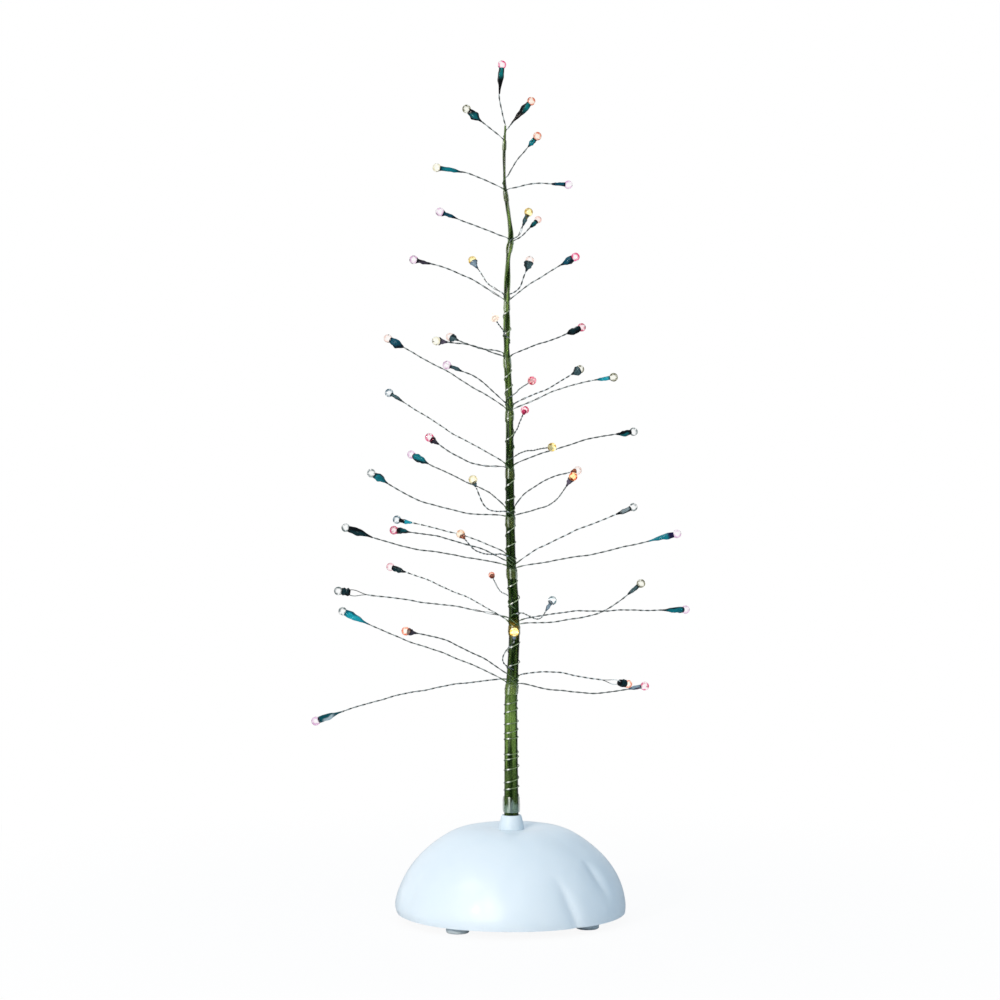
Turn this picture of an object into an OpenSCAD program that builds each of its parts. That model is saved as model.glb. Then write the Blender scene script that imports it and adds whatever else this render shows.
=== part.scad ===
// Lighted miniature tree: a bound wire trunk with tiers of bulb-tipped branches on a snow-mound base.
// Millimetres, +Z up, origin on the floor under the middle of the base.

/* [Mound] */
// Width of the mound across its rim
mound_d = 80; // [78:1:110]
// Height of the mound from its rim to its crown
mound_h = 31.5; // [29:0.5:45]
// Fullness of the mound's shoulder, 2 is a plain ellipse
mound_fullness = 2.1; // [2:0.05:2.6]
// Wall of the mound
shell_wall = 2; // [1.6:0.1:2.6]
// Depth of the drift folds in the mound's skin
fold_depth = 1.3; // [0:0.1:1.8]
// Inward turn of the mound's lower edge
rim_round = 0.9; // [0.2:0.1:1.2]
// Turn of the feet, the battery bay and the switch about the trunk
base_turn = 10; // [-45:1:45]

/* [Cover plate] */
// Thickness of the cover plate under the mound
plate_t = 2.6; // [2.4:0.1:4]
// Diameter of each rubber foot where it meets the plate
foot_d = 8; // [6:0.5:8.5]
// Height of the feet below the plate
foot_h = 2.5; // [2:0.1:5]
// Depth of the recess that takes each foot
foot_recess = 0.5; // [0.3:0.1:0.8]
// Distance from a foot to the edge of the cover plate
foot_edge = 0.85; // [0.4:0.05:1.6]
// Distance from a foot to the battery door
foot_gap = 1.3; // [0.8:0.1:1.6]
// Diameter of the cover screws' shanks
screw_d = 2.2; // [1.8:0.1:2.6]
// Diameter of the cover screws' heads
screw_head_d = 4.4; // [4:0.1:5]
// Height of the cover screws' heads
screw_head_h = 1.4; // [1:0.1:1.6]
// Length of the cover screws under the head
screw_l = 7; // [5:0.5:9]
// Distance from a cover screw's head to the edge of the cover plate
screw_edge = 3.8; // [3:0.1:4.2]
// Distance of the cover screws to each side of the middle
screw_x = 9.4; // [9:0.1:11]
// Diameter of the screw bosses inside the mound
boss_d = 6; // [5:0.5:7]

/* [Battery bay] */
// Number of cells side by side
cell_count = 3; // [2:1:3]
// Diameter of a cell
cell_d = 10.4; // [9.5:0.1:10.8]
// Length of a cell's can
cell_l = 43.6; // [40:0.1:46]
// Diameter of a cell's button end
cell_button_d = 3.8; // [3:0.1:5]
// Height of a cell's button end
cell_button_h = 0.9; // [0.6:0.1:1.2]
// Wall of the bay
bay_wall = 1.2; // [1:0.1:1.6]
// Thickness of the battery door
door_t = 2; // [1.8:0.1:2.2]
// Diameter of the door's hinge pins
hinge_pin_d = 1.2; // [1:0.05:1.3]
// Length of each hinge pin outside the door
hinge_pin_l = 1.1; // [0.8:0.1:1.2]
// Length of the contact springs between plate and cell
spring_l = 4; // [3.5:0.1:6]
// Wire of the contact springs
spring_wire_d = 0.5; // [0.4:0.05:0.6]
// Curls of each contact spring
spring_curls = 3; // [2:1:4]
// Thickness of the contact plates
contact_t = 0.4; // [0.3:0.05:0.6]

/* [Switch] */
// Length of the switch can
switch_l = 11; // [10:0.5:14]
// Width of the switch can
switch_w = 6; // [5.5:0.5:7]
// Height of the switch can
switch_h = 4.2; // [4:0.1:6]
// Travel of the switch slider
switch_travel = 2.5; // [1.5:0.1:3]
// Length of the slider's knob along its travel
knob_l = 3.4; // [2.5:0.1:4]
// Width of the slider's knob
knob_w = 2.2; // [1.6:0.1:2.8]
// Distance that the knob stands out under the plate
knob_out = 1.2; // [0.6:0.1:1.6]

/* [Trunk] */
// Height of the bound trunk above the mound's crown
trunk_h = 243.5; // [243:0.5:250]
// Diameter of the trunk at the mound
trunk_foot_d = 4.8; // [4:0.1:6]
// Diameter of the trunk at its tip
trunk_tip_d = 1.2; // [1.1:0.1:2]
// Thickness of the green film round the wire bundle
film_t = 0.15; // [0.1:0.05:0.2]
// Diameter of the steel support wire in the bundle
core_d = 1; // [0.8:0.1:1.4]
// Drop from the trunk's tip to the end of the support wire
core_drop = 78.5; // [64:0.5:124]
// Height of the collar at the trunk's foot
collar_h = 4.4; // [3.5:0.1:7]
// Diameter of the collar where it sits on the mound
collar_d = 8.6; // [8:0.1:12]
// Diameter of the collar's upper edge
collar_top_d = 7.4; // [6.8:0.1:8]
// Height of the clear shrink tube at the trunk's foot
boot_h = 5.5; // [3:0.5:8]
// Wall of the clear shrink tube and of the clear bands
band_t = 0.25; // [0.2:0.05:0.4]
// Height of the clear band under each tier
band_h = 3.6; // [2:0.2:4]
// Diameter of the binding wire
binding_d = 0.4; // [0.3:0.05:0.6]
// Pitch of the binding wire's loops
binding_pitch = 5.6; // [4:0.2:8]

/* [Branches] */
// Diameter of a branch's twisted pair of wires
wire_d = 0.7; // [0.5:0.05:0.9]
// Length of the shrink sleeve behind each bulb
sleeve_l = 7.2; // [6:0.1:9]
// Largest diameter of a sleeve
sleeve_d = 2.6; // [2.4:0.1:3.2]
// Wall of a sleeve at its two ends
sleeve_wall = 0.22; // [0.15:0.01:0.3]
// Diameter of a bulb's globe
bulb_d = 3; // [2.8:0.1:4]
// Diameter of a bulb's neck
bulb_neck_d = 1.6; // [1.3:0.1:1.8]
// Length of a bulb's neck inside the sleeve
bulb_neck_l = 2.6; // [2:0.1:3]

/* [Hidden] */
$fn = 48;
// Clearances: a close fit, a loose seat and a running gap
fit = 0.05;
seat = 0.1;
play = 0.25;

// Heights of the stack
rim_z = foot_h;
plate_top = rim_z + plate_t;
crown_z = rim_z + mound_h;
collar_sink = 0.8;
collar_z = crown_z - collar_sink;

// Mound: sides, rows and drift folds, each [heading, half width in degrees, low row, high row, share]
mound_sides = 48;
mound_rows = [0, 5, 12, 20, 28, 36, 44, 52, 60, 68, 76, 83];
folds = [
    [-60, 7, -10, 46, 0.9],
    [-34, 9, 8, 66, 1],
    [-47, 16, 30, 88, 0.8],
    [-105, 9, -4, 26, 0.4],
    [-150, 12, 4, 60, 0.5],
    [15, 11, 0, 56, 0.8],
    [62, 9, 6, 70, 1],
    [98, 8, -8, 44, 0.8],
    [140, 13, 12, 74, 0.9],
    [182, 9, -6, 40, 0.6]
];

// Cover plate and battery bay, in the frame that base_turn turns
plate_r = mound_d / 2 - shell_wall - rim_round - play;
head_sink = 0.2;
screw_recess = screw_head_h + head_sink;
cell_gap = 0.6;
cell_pitch = cell_d + cell_gap;
cell_ys = [for (i = [0 : cell_count - 1]) (i - (cell_count - 1) / 2) * cell_pitch];
door_top = rim_z + door_t;
door_gap = 0.15;
door_seat = door_top + door_gap;
cell_z = door_seat + cell_d / 2 + door_gap;
bay_w = cell_count * cell_pitch;
bay_l = cell_l + cell_button_h + spring_l + 2 * contact_t + 4 * seat;
cell_headroom = 0.3;
bay_top = cell_z + cell_d / 2 + cell_headroom;
door_lap = 0.8;
door_w = bay_w + 2 * door_lap;
door_end = bay_l / 2 + door_lap;
function four_spots(circle, x) =
    [for (side = [-1, 1], end = [-1, 1]) [side * x, end * sqrt(pow(circle, 2) - pow(x, 2))]];
foot_circle = plate_r - foot_edge - foot_d / 2;
foot_y = door_w / 2 + foot_gap + foot_d / 2;
foot_spots = four_spots(foot_circle, sqrt(pow(foot_circle, 2) - pow(foot_y, 2)));
screw_spots = four_spots(plate_r - screw_edge - screw_head_d / 2, screw_x);
hinge_r = door_t / 2;
hinge_x = -door_end + hinge_r;
hinge_z = rim_z + hinge_r;
tab_w = 3;
tab_rise = 2.4;
spring_foot_r = 3.4;
spring_tip_r = 1.9;
// Ends of the row of cells, each [end of the bay, place across]: the springs alternate from end to end
last_end = cell_count % 2 == 1 ? -1 : 1;
terminals = [[1, cell_ys[0]], [last_end, cell_ys[cell_count - 1]]];
function contact_x(end) = end > 0 ? bay_l / 2 - contact_t - seat : -bay_l / 2 + seat;

// Switch can, on the cover plate beside the bay
switch_y = -25;
switch_wall = 0.5;
flange_l = switch_l - 2 * switch_wall - switch_travel - 2 * play;
flange_w = switch_w - 2 * switch_wall - 2 * play;
flange_t = 1.5;
terminal_pitch = 3;
terminal_h = 2.4;
lug_w = 1.2;
lug_t = 0.4;
knob_lap = 0.5;

// Trunk: drops from its tip are drawn for one height and follow the trunk's own. Bends of its axis from the
// lowest up, each [drop, sideways sway], and the sway by height above the crown, straight in the collar
drawn_h = 243.5;
function drop(d) = d * trunk_h / drawn_h;
core_top = trunk_h - drop(core_drop);
bends = [
    [200.5, -0.2], [192.5, 0.3], [179.5, 1], [165.5, 0.8], [151.5, -0.2], [131.5, -0.5], [96.5, -0.7],
    [78.5, -1.7], [57.5, -1.6], [45.5, -1.2], [38.5, 0], [29.5, -1.2], [21.5, -2.4], [9.5, -2.6], [-6.5, -1.8]
];
sway = concat([[-trunk_h, 0], [0, 0]], [for (s = bends) [trunk_h - drop(s[0]), s[1]]]);
trunk_sides = 12;
bundle_drop = 8;
spigot_l = shell_wall + 3;
spigot_d = trunk_foot_d + 1.6;
plug_h = 2.2;
plug_d = spigot_d + 2.4;
binding_rings = 24;
bound_tiers = 8;

// Sleeve and bulb: depths of the two bores, the sleeve's belly as [share of its length, step in],
// and where the globe sits past the sleeve's rim
tail_bore = 1.8;
sleeve_belly = [[0.5, 0.15], [0.68, 0], [0.86, 0.12]];
neck_bore = bulb_neck_l + 0.2;
globe_out = sqrt(pow(bulb_d / 2 + fit, 2) - pow(bulb_neck_d / 2 + fit, 2));
lamp_l = sleeve_l + globe_out;

// Bulb glass tints
CLEAR = 0;
PINK = 1;
RED = 2;
AMBER = 3;
PEACH = 4;
BLUE = 5;
tint_names = ["clear", "pink", "red", "amber", "peach", "blue"];
tint_colours = ["aliceblue", "pink", "crimson", "gold", "peachpuff", "lightskyblue"];

// Branches by tier from the lowest up, each as
// [drop from the trunk's tip to where it leaves, heading, reach to the bulb, rise to the bulb,
//  slope where it leaves, slope of the lamp, tint]
tiers = [
    [
        [192.5, 214, 79.4, -10.2, -2, -14, PINK],
        [193.5, 172, 60.4, 23.6, 28, 26, CLEAR],
        [191, 216, 45, 17, 30, 12, RED],
        [189.5, 272, 15, 14.2, 35, 60, AMBER],
        [191.5, 32, 49, -6, 8, -10, PEACH],
        [194, 337, 49.5, 0.5, -12, 12, PINK]
    ],
    [
        [172.5, 147, 53, 17, 24, 14, PINK],
        [171.1, 186, 61.4, 9.4, 13, 8, CLEAR],
        [164.5, 100, 46, 5, 0, 16, RED],
        [169.7, 296, 29.8, 6.2, 12, 38, BLUE],
        [173.3, 345, 45.4, 14.6, 2, 40, AMBER],
        [172.1, 29, 71, 0.8, 9, -1, PINK]
    ],
    [
        [148.5, 158, 43.6, 10.6, 22, 10, CLEAR],
        [151.3, 206, 44.6, 11.4, 26, 8, RED],
        [149.7, 240, 34, 9, 16, 34, PEACH],
        [152.7, 178, 58, 12.6, 12, 20, CLEAR],
        [152.1, 16, 45, 18.8, 34, 21, CLEAR],
        [153.5, 352, 58, 11.8, 8, 15, PINK]
    ],
    [
        [132.3, 148, 41.5, 17.4, 38, 24, PINK],
        [134.1, 238, 24, 11.6, 0, 54, AMBER],
        [135.5, 196, 49.8, 15, -1, 32, CLEAR],
        [132.3, 38, 30.5, 11.8, 46, 10, RED],
        [135.5, 318, 29, 14, 14, 48, AMBER]
    ],
    [
        [117.1, 156, 47, 24.2, 24, 30, BLUE],
        [118.5, 215, 33.6, 10.4, -2, 32, PINK],
        [109.7, 78, 26, 10.6, 20, 26, RED],
        [115.5, 292, 38, 4.4, 14, 4, AMBER],
        [117.5, 22, 47.4, 10.8, 17, 7, CLEAR]
    ],
    [
        [97.7, 162, 45.2, 24, 31, 28, PEACH],
        [96.3, 208, 24.4, 13, 42, 20, PINK],
        [94.3, 285, 30, 5.6, 12, 10, RED],
        [96.7, 43, 34.4, 12.2, 16, 24, AMBER],
        [98.3, 338, 38.6, 10.8, 19, 8, CLEAR]
    ],
    [
        [73.1, 260, 24, 6, 12, 16, PEACH],
        [78.7, 140, 26.2, 5.6, 12, 18, PEACH],
        [79.9, 194, 25.2, 5, 14, 6, AMBER],
        [79.7, 33, 31.6, 10, 20, 20, RED]
    ],
    [
        [60, 187, 32.6, 13.3, 29, 13, PINK],
        [58.5, 130, 19, 12.4, 25, 45, AMBER],
        [58.5, 55, 14, 12.3, 12, 60, PEACH],
        [60, 348, 24.3, 14.2, 33, 28, PINK]
    ],
    [
        [39.3, 299, 12.4, 8.6, 12, 48, AMBER],
        [39.9, 45, 13.5, 7.8, 8, 36, PEACH],
        [38.9, 194, 25.5, 8.6, 13, 20, PINK]
    ],
    [
        [17.7, 338, 12.3, 13.6, 54, 46, PEACH],
        [21.5, 183, 23.6, 6.8, 26, 10, CLEAR],
        [21.9, 8, 22.4, 1.6, 11, -2, PINK]
    ],
    [
        [4.3, 182, 13.3, 10, 35, 40, AMBER],
        [1, 0, 9, 9.4, 50, 48, PEACH],
        [0, 180, 1.2, 21, 70, 95, PINK]
    ]
];
tier_count = len(tiers);
wire_rings = 9;

// Routes of the leads inside the mound, in the frame that base_turn turns
lead_d = 1;
cap_d = 3.2;
cap_l = 8;
cap_z = bay_top + bay_wall + cap_d / 2 + 0.3;
cap_x = 4;
cap_y = 4;

function two_digits(k) = str(k < 10 ? "0" : "", k);
function wires_node(k) = str("tier_", two_digits(k + 1), "_wires");
function sleeves_node(k) = str("tier_", two_digits(k + 1), "_sleeves");
function bulbs_node(t) = str(tint_names[t], "_bulbs");

// Skins: closed solids through rings of points, each ring counter-clockwise seen from where it leads
function unit(v) = v / norm(v);
function ring(centre, r, sides) =
    [for (i = [0 : sides - 1]) centre + r * [cos(360 * i / sides), sin(360 * i / sides), 0]];
function wall_faces(n, j, k) =
    [for (i = [0 : n - 1]) each
        let (a = j * n + i, b = j * n + (i + 1) % n, c = k * n + i, d = k * n + (i + 1) % n)
        [[a, c, d], [a, d, b]]];

// A solid through the rings in turn, with a flat cap on the first and the last
module skin(rings) {
    n = len(rings[0]);
    last = (len(rings) - 1) * n;
    walls = [for (j = [0 : len(rings) - 2]) each wall_faces(n, j, j + 1)];
    caps = [for (i = [1 : n - 2]) each [[0, i, i + 1], [last, last + i + 1, last + i]]];
    polyhedron([for (r = rings) each r], concat(walls, caps));
}

// A hollow solid whose last ring joins its first
module hollow_skin(rings) {
    n = len(rings[0]);
    m = len(rings);
    polyhedron([for (r = rings) each r], [for (j = [0 : m - 1]) each wall_faces(n, j, (j + 1) % m)]);
}

// A round tube along points, with its sides set square to a direction that the route never takes
coil_off = [0.02, 0.01, 1];
module tube(points, d, sides, off) {
    last = len(points) - 1;
    rings = [for (i = [0 : last])
        let (t = unit(points[min(i + 1, last)] - points[max(i - 1, 0)]),
             u = unit(cross(off, t)),
             v = cross(t, u))
        [for (s = [0 : sides - 1]) let (a = 360 * s / sides) points[i] + d / 2 * (cos(a) * u + sin(a) * v)]];
    skin(rings);
}

// Mound surface: radius and height at a row, where 0 is the rim and 90 the crown
function fold_at(heading, row) = fold_depth * max([for (f = folds)
    let (turn = abs((heading - f[0] + 540) % 360 - 180),
         along = (row - f[2]) / (f[3] - f[2]))
    along <= 0 || along >= 1 ? 0 : f[4] * exp(-pow(turn / f[1], 2)) * pow(sin(180 * along), 2)]);
function mound_point(r, h, row, heading) =
    let (across = r * pow(cos(row), 2 / mound_fullness) - fold_at(heading, row))
    [across * cos(heading), across * sin(heading), rim_z + h * pow(sin(row), 2 / mound_fullness)];

module mound(r, h, turn_in, lift) {
    edge = ring([0, 0, rim_z - lift], r - turn_in, mound_sides);
    rows = [for (row = mound_rows) if (row > 0 || lift > 0)
        [for (i = [0 : mound_sides - 1]) mound_point(r, h, row, 360 * i / mound_sides)]];
    skin(concat([edge], rows));
}

module turned() {
    rotate([0, 0, base_turn]) children();
}

// Snow mound with its bosses, the trunk hole and the seat of the collar
module base_shell() {
    r = mound_d / 2;
    color("aliceblue") difference() {
        mound(r, mound_h, rim_round, 0);
        difference() {
            mound(r - shell_wall, mound_h - shell_wall, rim_round, 1);
            turned() for (p = screw_spots) translate([p[0], p[1], plate_top + fit])
                cylinder(d = boss_d, h = mound_h);
        }
        turned() for (p = screw_spots) translate([p[0], p[1], rim_z])
            cylinder(d = screw_d + 2 * fit, h = screw_recess + screw_l + 1);
        translate([0, 0, collar_z]) cylinder(d = collar_d + 2 * seat, h = mound_h);
        translate([0, 0, rim_z + mound_h / 2]) cylinder(d = spigot_d + 2 * seat, h = mound_h);
    }
}

// Collar that carries the trunk, with a spigot through the crown
module trunk_collar() {
    bore = trunk_foot_d + 2 * seat;
    edge = 0.8;
    color("lightsteelblue") difference() {
        union() {
            translate([0, 0, collar_z]) cylinder(d1 = collar_d, d2 = collar_top_d, h = collar_h - edge);
            translate([0, 0, collar_z + collar_h - edge])
                cylinder(d1 = collar_top_d, d2 = collar_top_d - 2 * edge, h = edge);
            translate([0, 0, collar_z - spigot_l]) cylinder(d = spigot_d, h = spigot_l + edge);
        }
        translate([0, 0, collar_z - spigot_l - 1]) cylinder(d = bore, h = spigot_l + collar_h + 2);
    }
}

// Cover plate with the battery bay, the door's opening and hinge bores, and the switch slot
module cover_plate() {
    opening_w = door_w + 2 * play;
    opening_end = door_end + play;
    slot_l = knob_l + switch_travel + 2 * play;
    notch_r = 1.6;
    color("gainsboro") turned() difference() {
        union() {
            translate([0, 0, rim_z]) cylinder(r = plate_r, h = plate_t, $fn = 96);
            translate([-bay_l / 2 - bay_wall, -bay_w / 2 - bay_wall, rim_z])
                cube([bay_l + 2 * bay_wall, bay_w + 2 * bay_wall, bay_top + bay_wall - rim_z]);
        }
        translate([-bay_l / 2, -bay_w / 2, rim_z - 1]) cube([bay_l, bay_w, bay_top - rim_z + 1]);
        translate([-opening_end, -opening_w / 2, rim_z - 1])
            cube([2 * opening_end, opening_w, door_seat - rim_z + 1]);
        translate([hinge_x, 0, hinge_z]) rotate([90, 0, 0])
            cylinder(d = hinge_pin_d + 2 * fit, h = door_w + 2 * hinge_pin_l + 2 * play, center = true);
        for (e = terminals) translate([contact_x(e[0]) - seat, e[1] - tab_w / 2 - seat, bay_top - 1])
            cube([contact_t + 2 * seat, tab_w + 2 * seat, bay_wall + 2]);
        for (p = foot_spots) translate([p[0], p[1], rim_z - 1])
            cylinder(d = foot_d + 2 * seat, h = 1 + foot_recess);
        for (p = screw_spots) translate([p[0], p[1], rim_z - 1]) {
            cylinder(d = screw_d + 2 * play, h = plate_t + 2);
            cylinder(d = screw_head_d + 2 * play, h = 1 + screw_recess);
        }
        translate([-slot_l / 2, switch_y - knob_w / 2 - play, rim_z - 1])
            cube([slot_l, knob_w + 2 * play, plate_t + 2]);
        translate([opening_end, 0, rim_z]) sphere(r = notch_r);
    }
}

// Four self-tapping screws with a cross recess, from below
module cover_screws() {
    recess_w = 0.6;
    recess_h = 0.8;
    head_taper = 0.8;
    point_l = 1;
    head_z = rim_z + screw_recess;
    color("silver") turned() for (p = screw_spots) translate([p[0], p[1], head_z]) difference() {
        union() {
            translate([0, 0, -screw_head_h])
                cylinder(d1 = screw_head_d - head_taper, d2 = screw_head_d, h = screw_head_h);
            cylinder(d = screw_d, h = screw_l - point_l);
            translate([0, 0, screw_l - point_l]) cylinder(d1 = screw_d, d2 = screw_d / 3, h = point_l);
        }
        for (a = [0, 90]) rotate([0, 0, a])
            translate([-screw_d / 2, -recess_w / 2, -screw_head_h - 1])
                cube([screw_d, recess_w, 1 + recess_h]);
    }
}

// Four soft rubber feet
module rubber_feet() {
    edge = 0.6;
    color("slategray") turned() for (p = foot_spots) translate([p[0], p[1], 0]) {
        cylinder(d1 = foot_d - 2 * edge, d2 = foot_d, h = edge);
        translate([0, 0, edge]) cylinder(d = foot_d, h = foot_h + foot_recess - edge);
    }
}

// Battery door: a round hinge edge with two pins, and a latch tongue between two slits
module battery_door() {
    tongue_w = 8;
    tongue_l = 7;
    slit = 0.8;
    grip_pitch = 1.4;
    grip_w = 0.6;
    grip_depth = 0.3;
    color("gainsboro") turned() difference() {
        union() {
            translate([hinge_x, -door_w / 2, rim_z]) cube([door_end - hinge_x, door_w, door_t]);
            translate([hinge_x, 0, hinge_z]) rotate([90, 0, 0]) {
                cylinder(r = hinge_r, h = door_w, center = true);
                cylinder(d = hinge_pin_d, h = door_w + 2 * hinge_pin_l, center = true);
            }
        }
        for (side = [-1, 1]) translate([door_end - tongue_l, side * tongue_w / 2 - slit / 2, rim_z - 1])
            cube([tongue_l + 1, slit, door_t + 2]);
        for (i = [1 : 3]) translate([door_end - grip_pitch * i - grip_w, -tongue_w / 2 + slit, rim_z - 1])
            cube([grip_w, tongue_w - 2 * slit, 1 + grip_depth]);
    }
}

// Cells side by side in series, each turned end for end from the last
module battery_cells() {
    color("darkslategray") turned() for (i = [0 : cell_count - 1])
        translate([0, cell_ys[i], cell_z]) rotate([0, 90, i % 2 == 0 ? 0 : 180])
            translate([0, 0, cell_l / 2 - bay_l / 2 + contact_t + 2 * seat + spring_l]) {
                cylinder(d = cell_d, h = cell_l, center = true);
                cylinder(d = cell_button_d, h = cell_l / 2 + cell_button_h);
            }
}

// Coiled contact springs behind the cells' flat ends
function spring_point(a) =
    let (share = a / 360 / spring_curls, r = spring_foot_r + (spring_tip_r - spring_foot_r) * share)
    [r * cos(a), r * sin(a), spring_wire_d / 2 + (spring_l - spring_wire_d) * share];
module contact_springs() {
    points = [for (i = [0 : 8 * spring_curls]) spring_point(45 * i)];
    gaps = [for (i = [0 : 8 * (spring_curls - 1)]) norm(points[i + 8] - points[i]) - spring_wire_d];
    echo(least_gap_in_contact_springs = min(gaps));
    color("silver") turned() for (i = [0 : cell_count - 1])
        translate([0, cell_ys[i], cell_z]) rotate([0, 90, i % 2 == 0 ? 0 : 180])
            translate([0, 0, contact_t + seat + fit - bay_l / 2])
                tube(points, spring_wire_d, 6, coil_off);
}

// A contact plate against an end wall of the bay, as wide as the cells that it serves
module contact_plate(end, y_low, y_high) {
    side = 8;
    low = cell_z - side / 2;
    translate([contact_x(end), y_low - side / 2, low]) cube([contact_t, y_high - y_low + side, side]);
}

// Two end contacts with tabs through the bay's roof
module contact_plates() {
    color("silver") turned() for (e = terminals) {
        contact_plate(e[0], e[1], e[1]);
        translate([contact_x(e[0]), e[1] - tab_w / 2, cell_z])
            cube([contact_t, tab_w, bay_top + bay_wall + tab_rise - cell_z]);
    }
}

// Plates that link each cell to the next, at one end and the other in turn
module link_plates() {
    color("silver") turned() for (i = [0 : cell_count - 2])
        contact_plate(i % 2 == 0 ? -1 : 1, cell_ys[i], cell_ys[i + 1]);
}

// Switch can over the slot, open below
module switch_can() {
    color("silver") turned() translate([0, switch_y, plate_top + fit]) difference() {
        translate([-switch_l / 2, -switch_w / 2, 0]) cube([switch_l, switch_w, switch_h]);
        translate([-switch_l / 2 + switch_wall, -switch_w / 2 + switch_wall, -1])
            cube([switch_l - 2 * switch_wall, switch_w - 2 * switch_wall, switch_h - switch_wall + 1]);
    }
}

// Slider at the on end of its travel, with its knob through the plate
module switch_slider() {
    color("dimgray") turned() translate([-switch_travel / 2, switch_y, 0]) {
        translate([-flange_l / 2, -flange_w / 2, plate_top + seat]) cube([flange_l, flange_w, flange_t]);
        translate([-knob_l / 2, -knob_w / 2, rim_z - knob_out])
            cube([knob_l, knob_w, plate_t + knob_out + seat + knob_lap]);
    }
}

// Three solder lugs on the switch can
module switch_terminals() {
    color("goldenrod") turned() for (i = [-1 : 1])
        translate([i * terminal_pitch - lug_w / 2, switch_y - lug_t / 2, plate_top + switch_h + 2 * fit])
            cube([lug_w, lug_t, terminal_h]);
}

// Smooth route through hand-set points: three steps in each stretch
function blend(p, i, t) =
    let (last = len(p) - 1, a = p[max(i - 1, 0)], b = p[i], c = p[min(i + 1, last)], d = p[min(i + 2, last)])
    0.5 * ((2 * b) + (c - a) * t + (2 * a - 5 * b + 4 * c - d) * t * t + (3 * b - a - 3 * c + d) * t * t * t);
function smooth_route(p) =
    concat([for (i = [0 : len(p) - 2], s = [0 : 2]) blend(p, i, s / 3)], [p[len(p) - 1]]);
rising_off = [0.21, 0.93, 0.3];
level_off = [0.1, 0.2, 0.97];
lead_gap = 0.15;
bay_side = -bay_w / 2 - bay_wall;
roof_z = bay_top + bay_wall + lead_d / 2 + lead_gap;
tab_x = bay_l / 2 - contact_t - seat - lead_d / 2 - lead_gap;
tab_y = cell_ys[cell_count - 1];
lug_z = plate_top + switch_h + terminal_h;
lug_y = switch_y + lug_t / 2 + lead_d / 2 + lead_gap;
cap_end = cap_x + cap_l;

// Lead from the first contact to the switch
module positive_lead() {
    color("firebrick") turned() tube(smooth_route([
        [tab_x, -tab_y, roof_z], [tab_x - 4, -tab_y - 3, roof_z + 0.8],
        [tab_x - 8, bay_side - 0.3, roof_z + 1], [10, bay_side - 2, lug_z + 2],
        [terminal_pitch + 2.5, lug_y + 1, lug_z], [terminal_pitch - 0.5, lug_y, lug_z - 1]]),
        lead_d, 6, rising_off);
}

// Lead from the switch to the lamps' splice
module switched_lead() {
    color("firebrick") turned() tube(smooth_route([
        [0.5, lug_y, lug_z - 1], [-2.5, lug_y + 0.8, lug_z + 0.2], [-7, bay_side - 2, lug_z + 2],
        [-11, bay_side - 0.4, roof_z + 0.8], [-15, -12, cap_z + 0.4], [-cap_end - 4, -cap_y - 2, cap_z],
        [-cap_end - 2, -cap_y, cap_z], [-cap_end - 1, -cap_y, cap_z], [1 - cap_end, -cap_y, cap_z]]),
        lead_d, 6, level_off);
}

// Lead from the last contact to the lamps' splice, along the bay's roof if that contact is at the far end
module negative_lead() {
    along_roof = [[-tab_x, tab_y, roof_z], [-tab_x + 4, tab_y + 0.8, roof_z + 0.6],
        [-6, tab_y + 1.2, roof_z + 0.3], [cap_end - 3, tab_y + 1, roof_z + 0.4],
        [cap_end + 2.4, tab_y - 0.4, cap_z - 0.3]];
    from_near_end = [[tab_x, tab_y, roof_z], [tab_x - 3, tab_y + 1, roof_z + 0.6]];
    color("dimgray") turned() tube(smooth_route(concat(last_end < 0 ? along_roof : from_near_end, [
        [cap_end + 4.2, cap_y + 3.2, cap_z], [cap_end + 3.4, cap_y + 0.8, cap_z],
        [cap_end + 1.8, cap_y, cap_z], [cap_end + 1, cap_y, cap_z], [cap_end - 1, cap_y, cap_z]])),
        lead_d, 6, level_off);
}

// Two crimped caps that join the leads to the trunk's wires
module splice_caps() {
    color("whitesmoke") turned() for (side = [-1, 1]) translate([side * cap_x, side * cap_y, cap_z])
        rotate([0, side * 90, 0]) difference() {
            cylinder(d = cap_d, h = cap_l);
            translate([0, 0, cap_l - 2]) cylinder(d = lead_d + 2 * seat, h = 3);
            translate([0, 0, -1]) cylinder(d = lead_d + 2 * seat, h = 3);
        }
}

// Two gathered tails of the trunk's wires, from the bundle's end to the splices
module lamp_tails() {
    end_z = crown_z - bundle_drop - seat;
    color("darkolivegreen") turned() for (side = [-1, 1]) tube(smooth_route([
        [side * 0.9, side * 0.6, end_z], [side * 0.9, side * 0.6, end_z - 0.6],
        [side * 0.9, side * 0.6, end_z - 1.2], [side * 1.8, side * 2.6, cap_z + 1.4],
        [side * 3, side * cap_y, cap_z + 0.2], [side * (cap_x + 1.5), side * cap_y, cap_z]]),
        lead_d, 6, [0.8, -0.55, 0.1]);
}

// Hot-melt plug that holds the bundle under the collar
module glue_plug() {
    top = collar_z - spigot_l - fit;
    color("wheat") translate([0, 0, top - plug_h]) difference() {
        cylinder(d1 = trunk_foot_d + 1, d2 = plug_d, h = plug_h);
        translate([0, 0, -1]) cylinder(d = trunk_foot_d + 2 * fit, h = plug_h + 2);
    }
}

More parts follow.
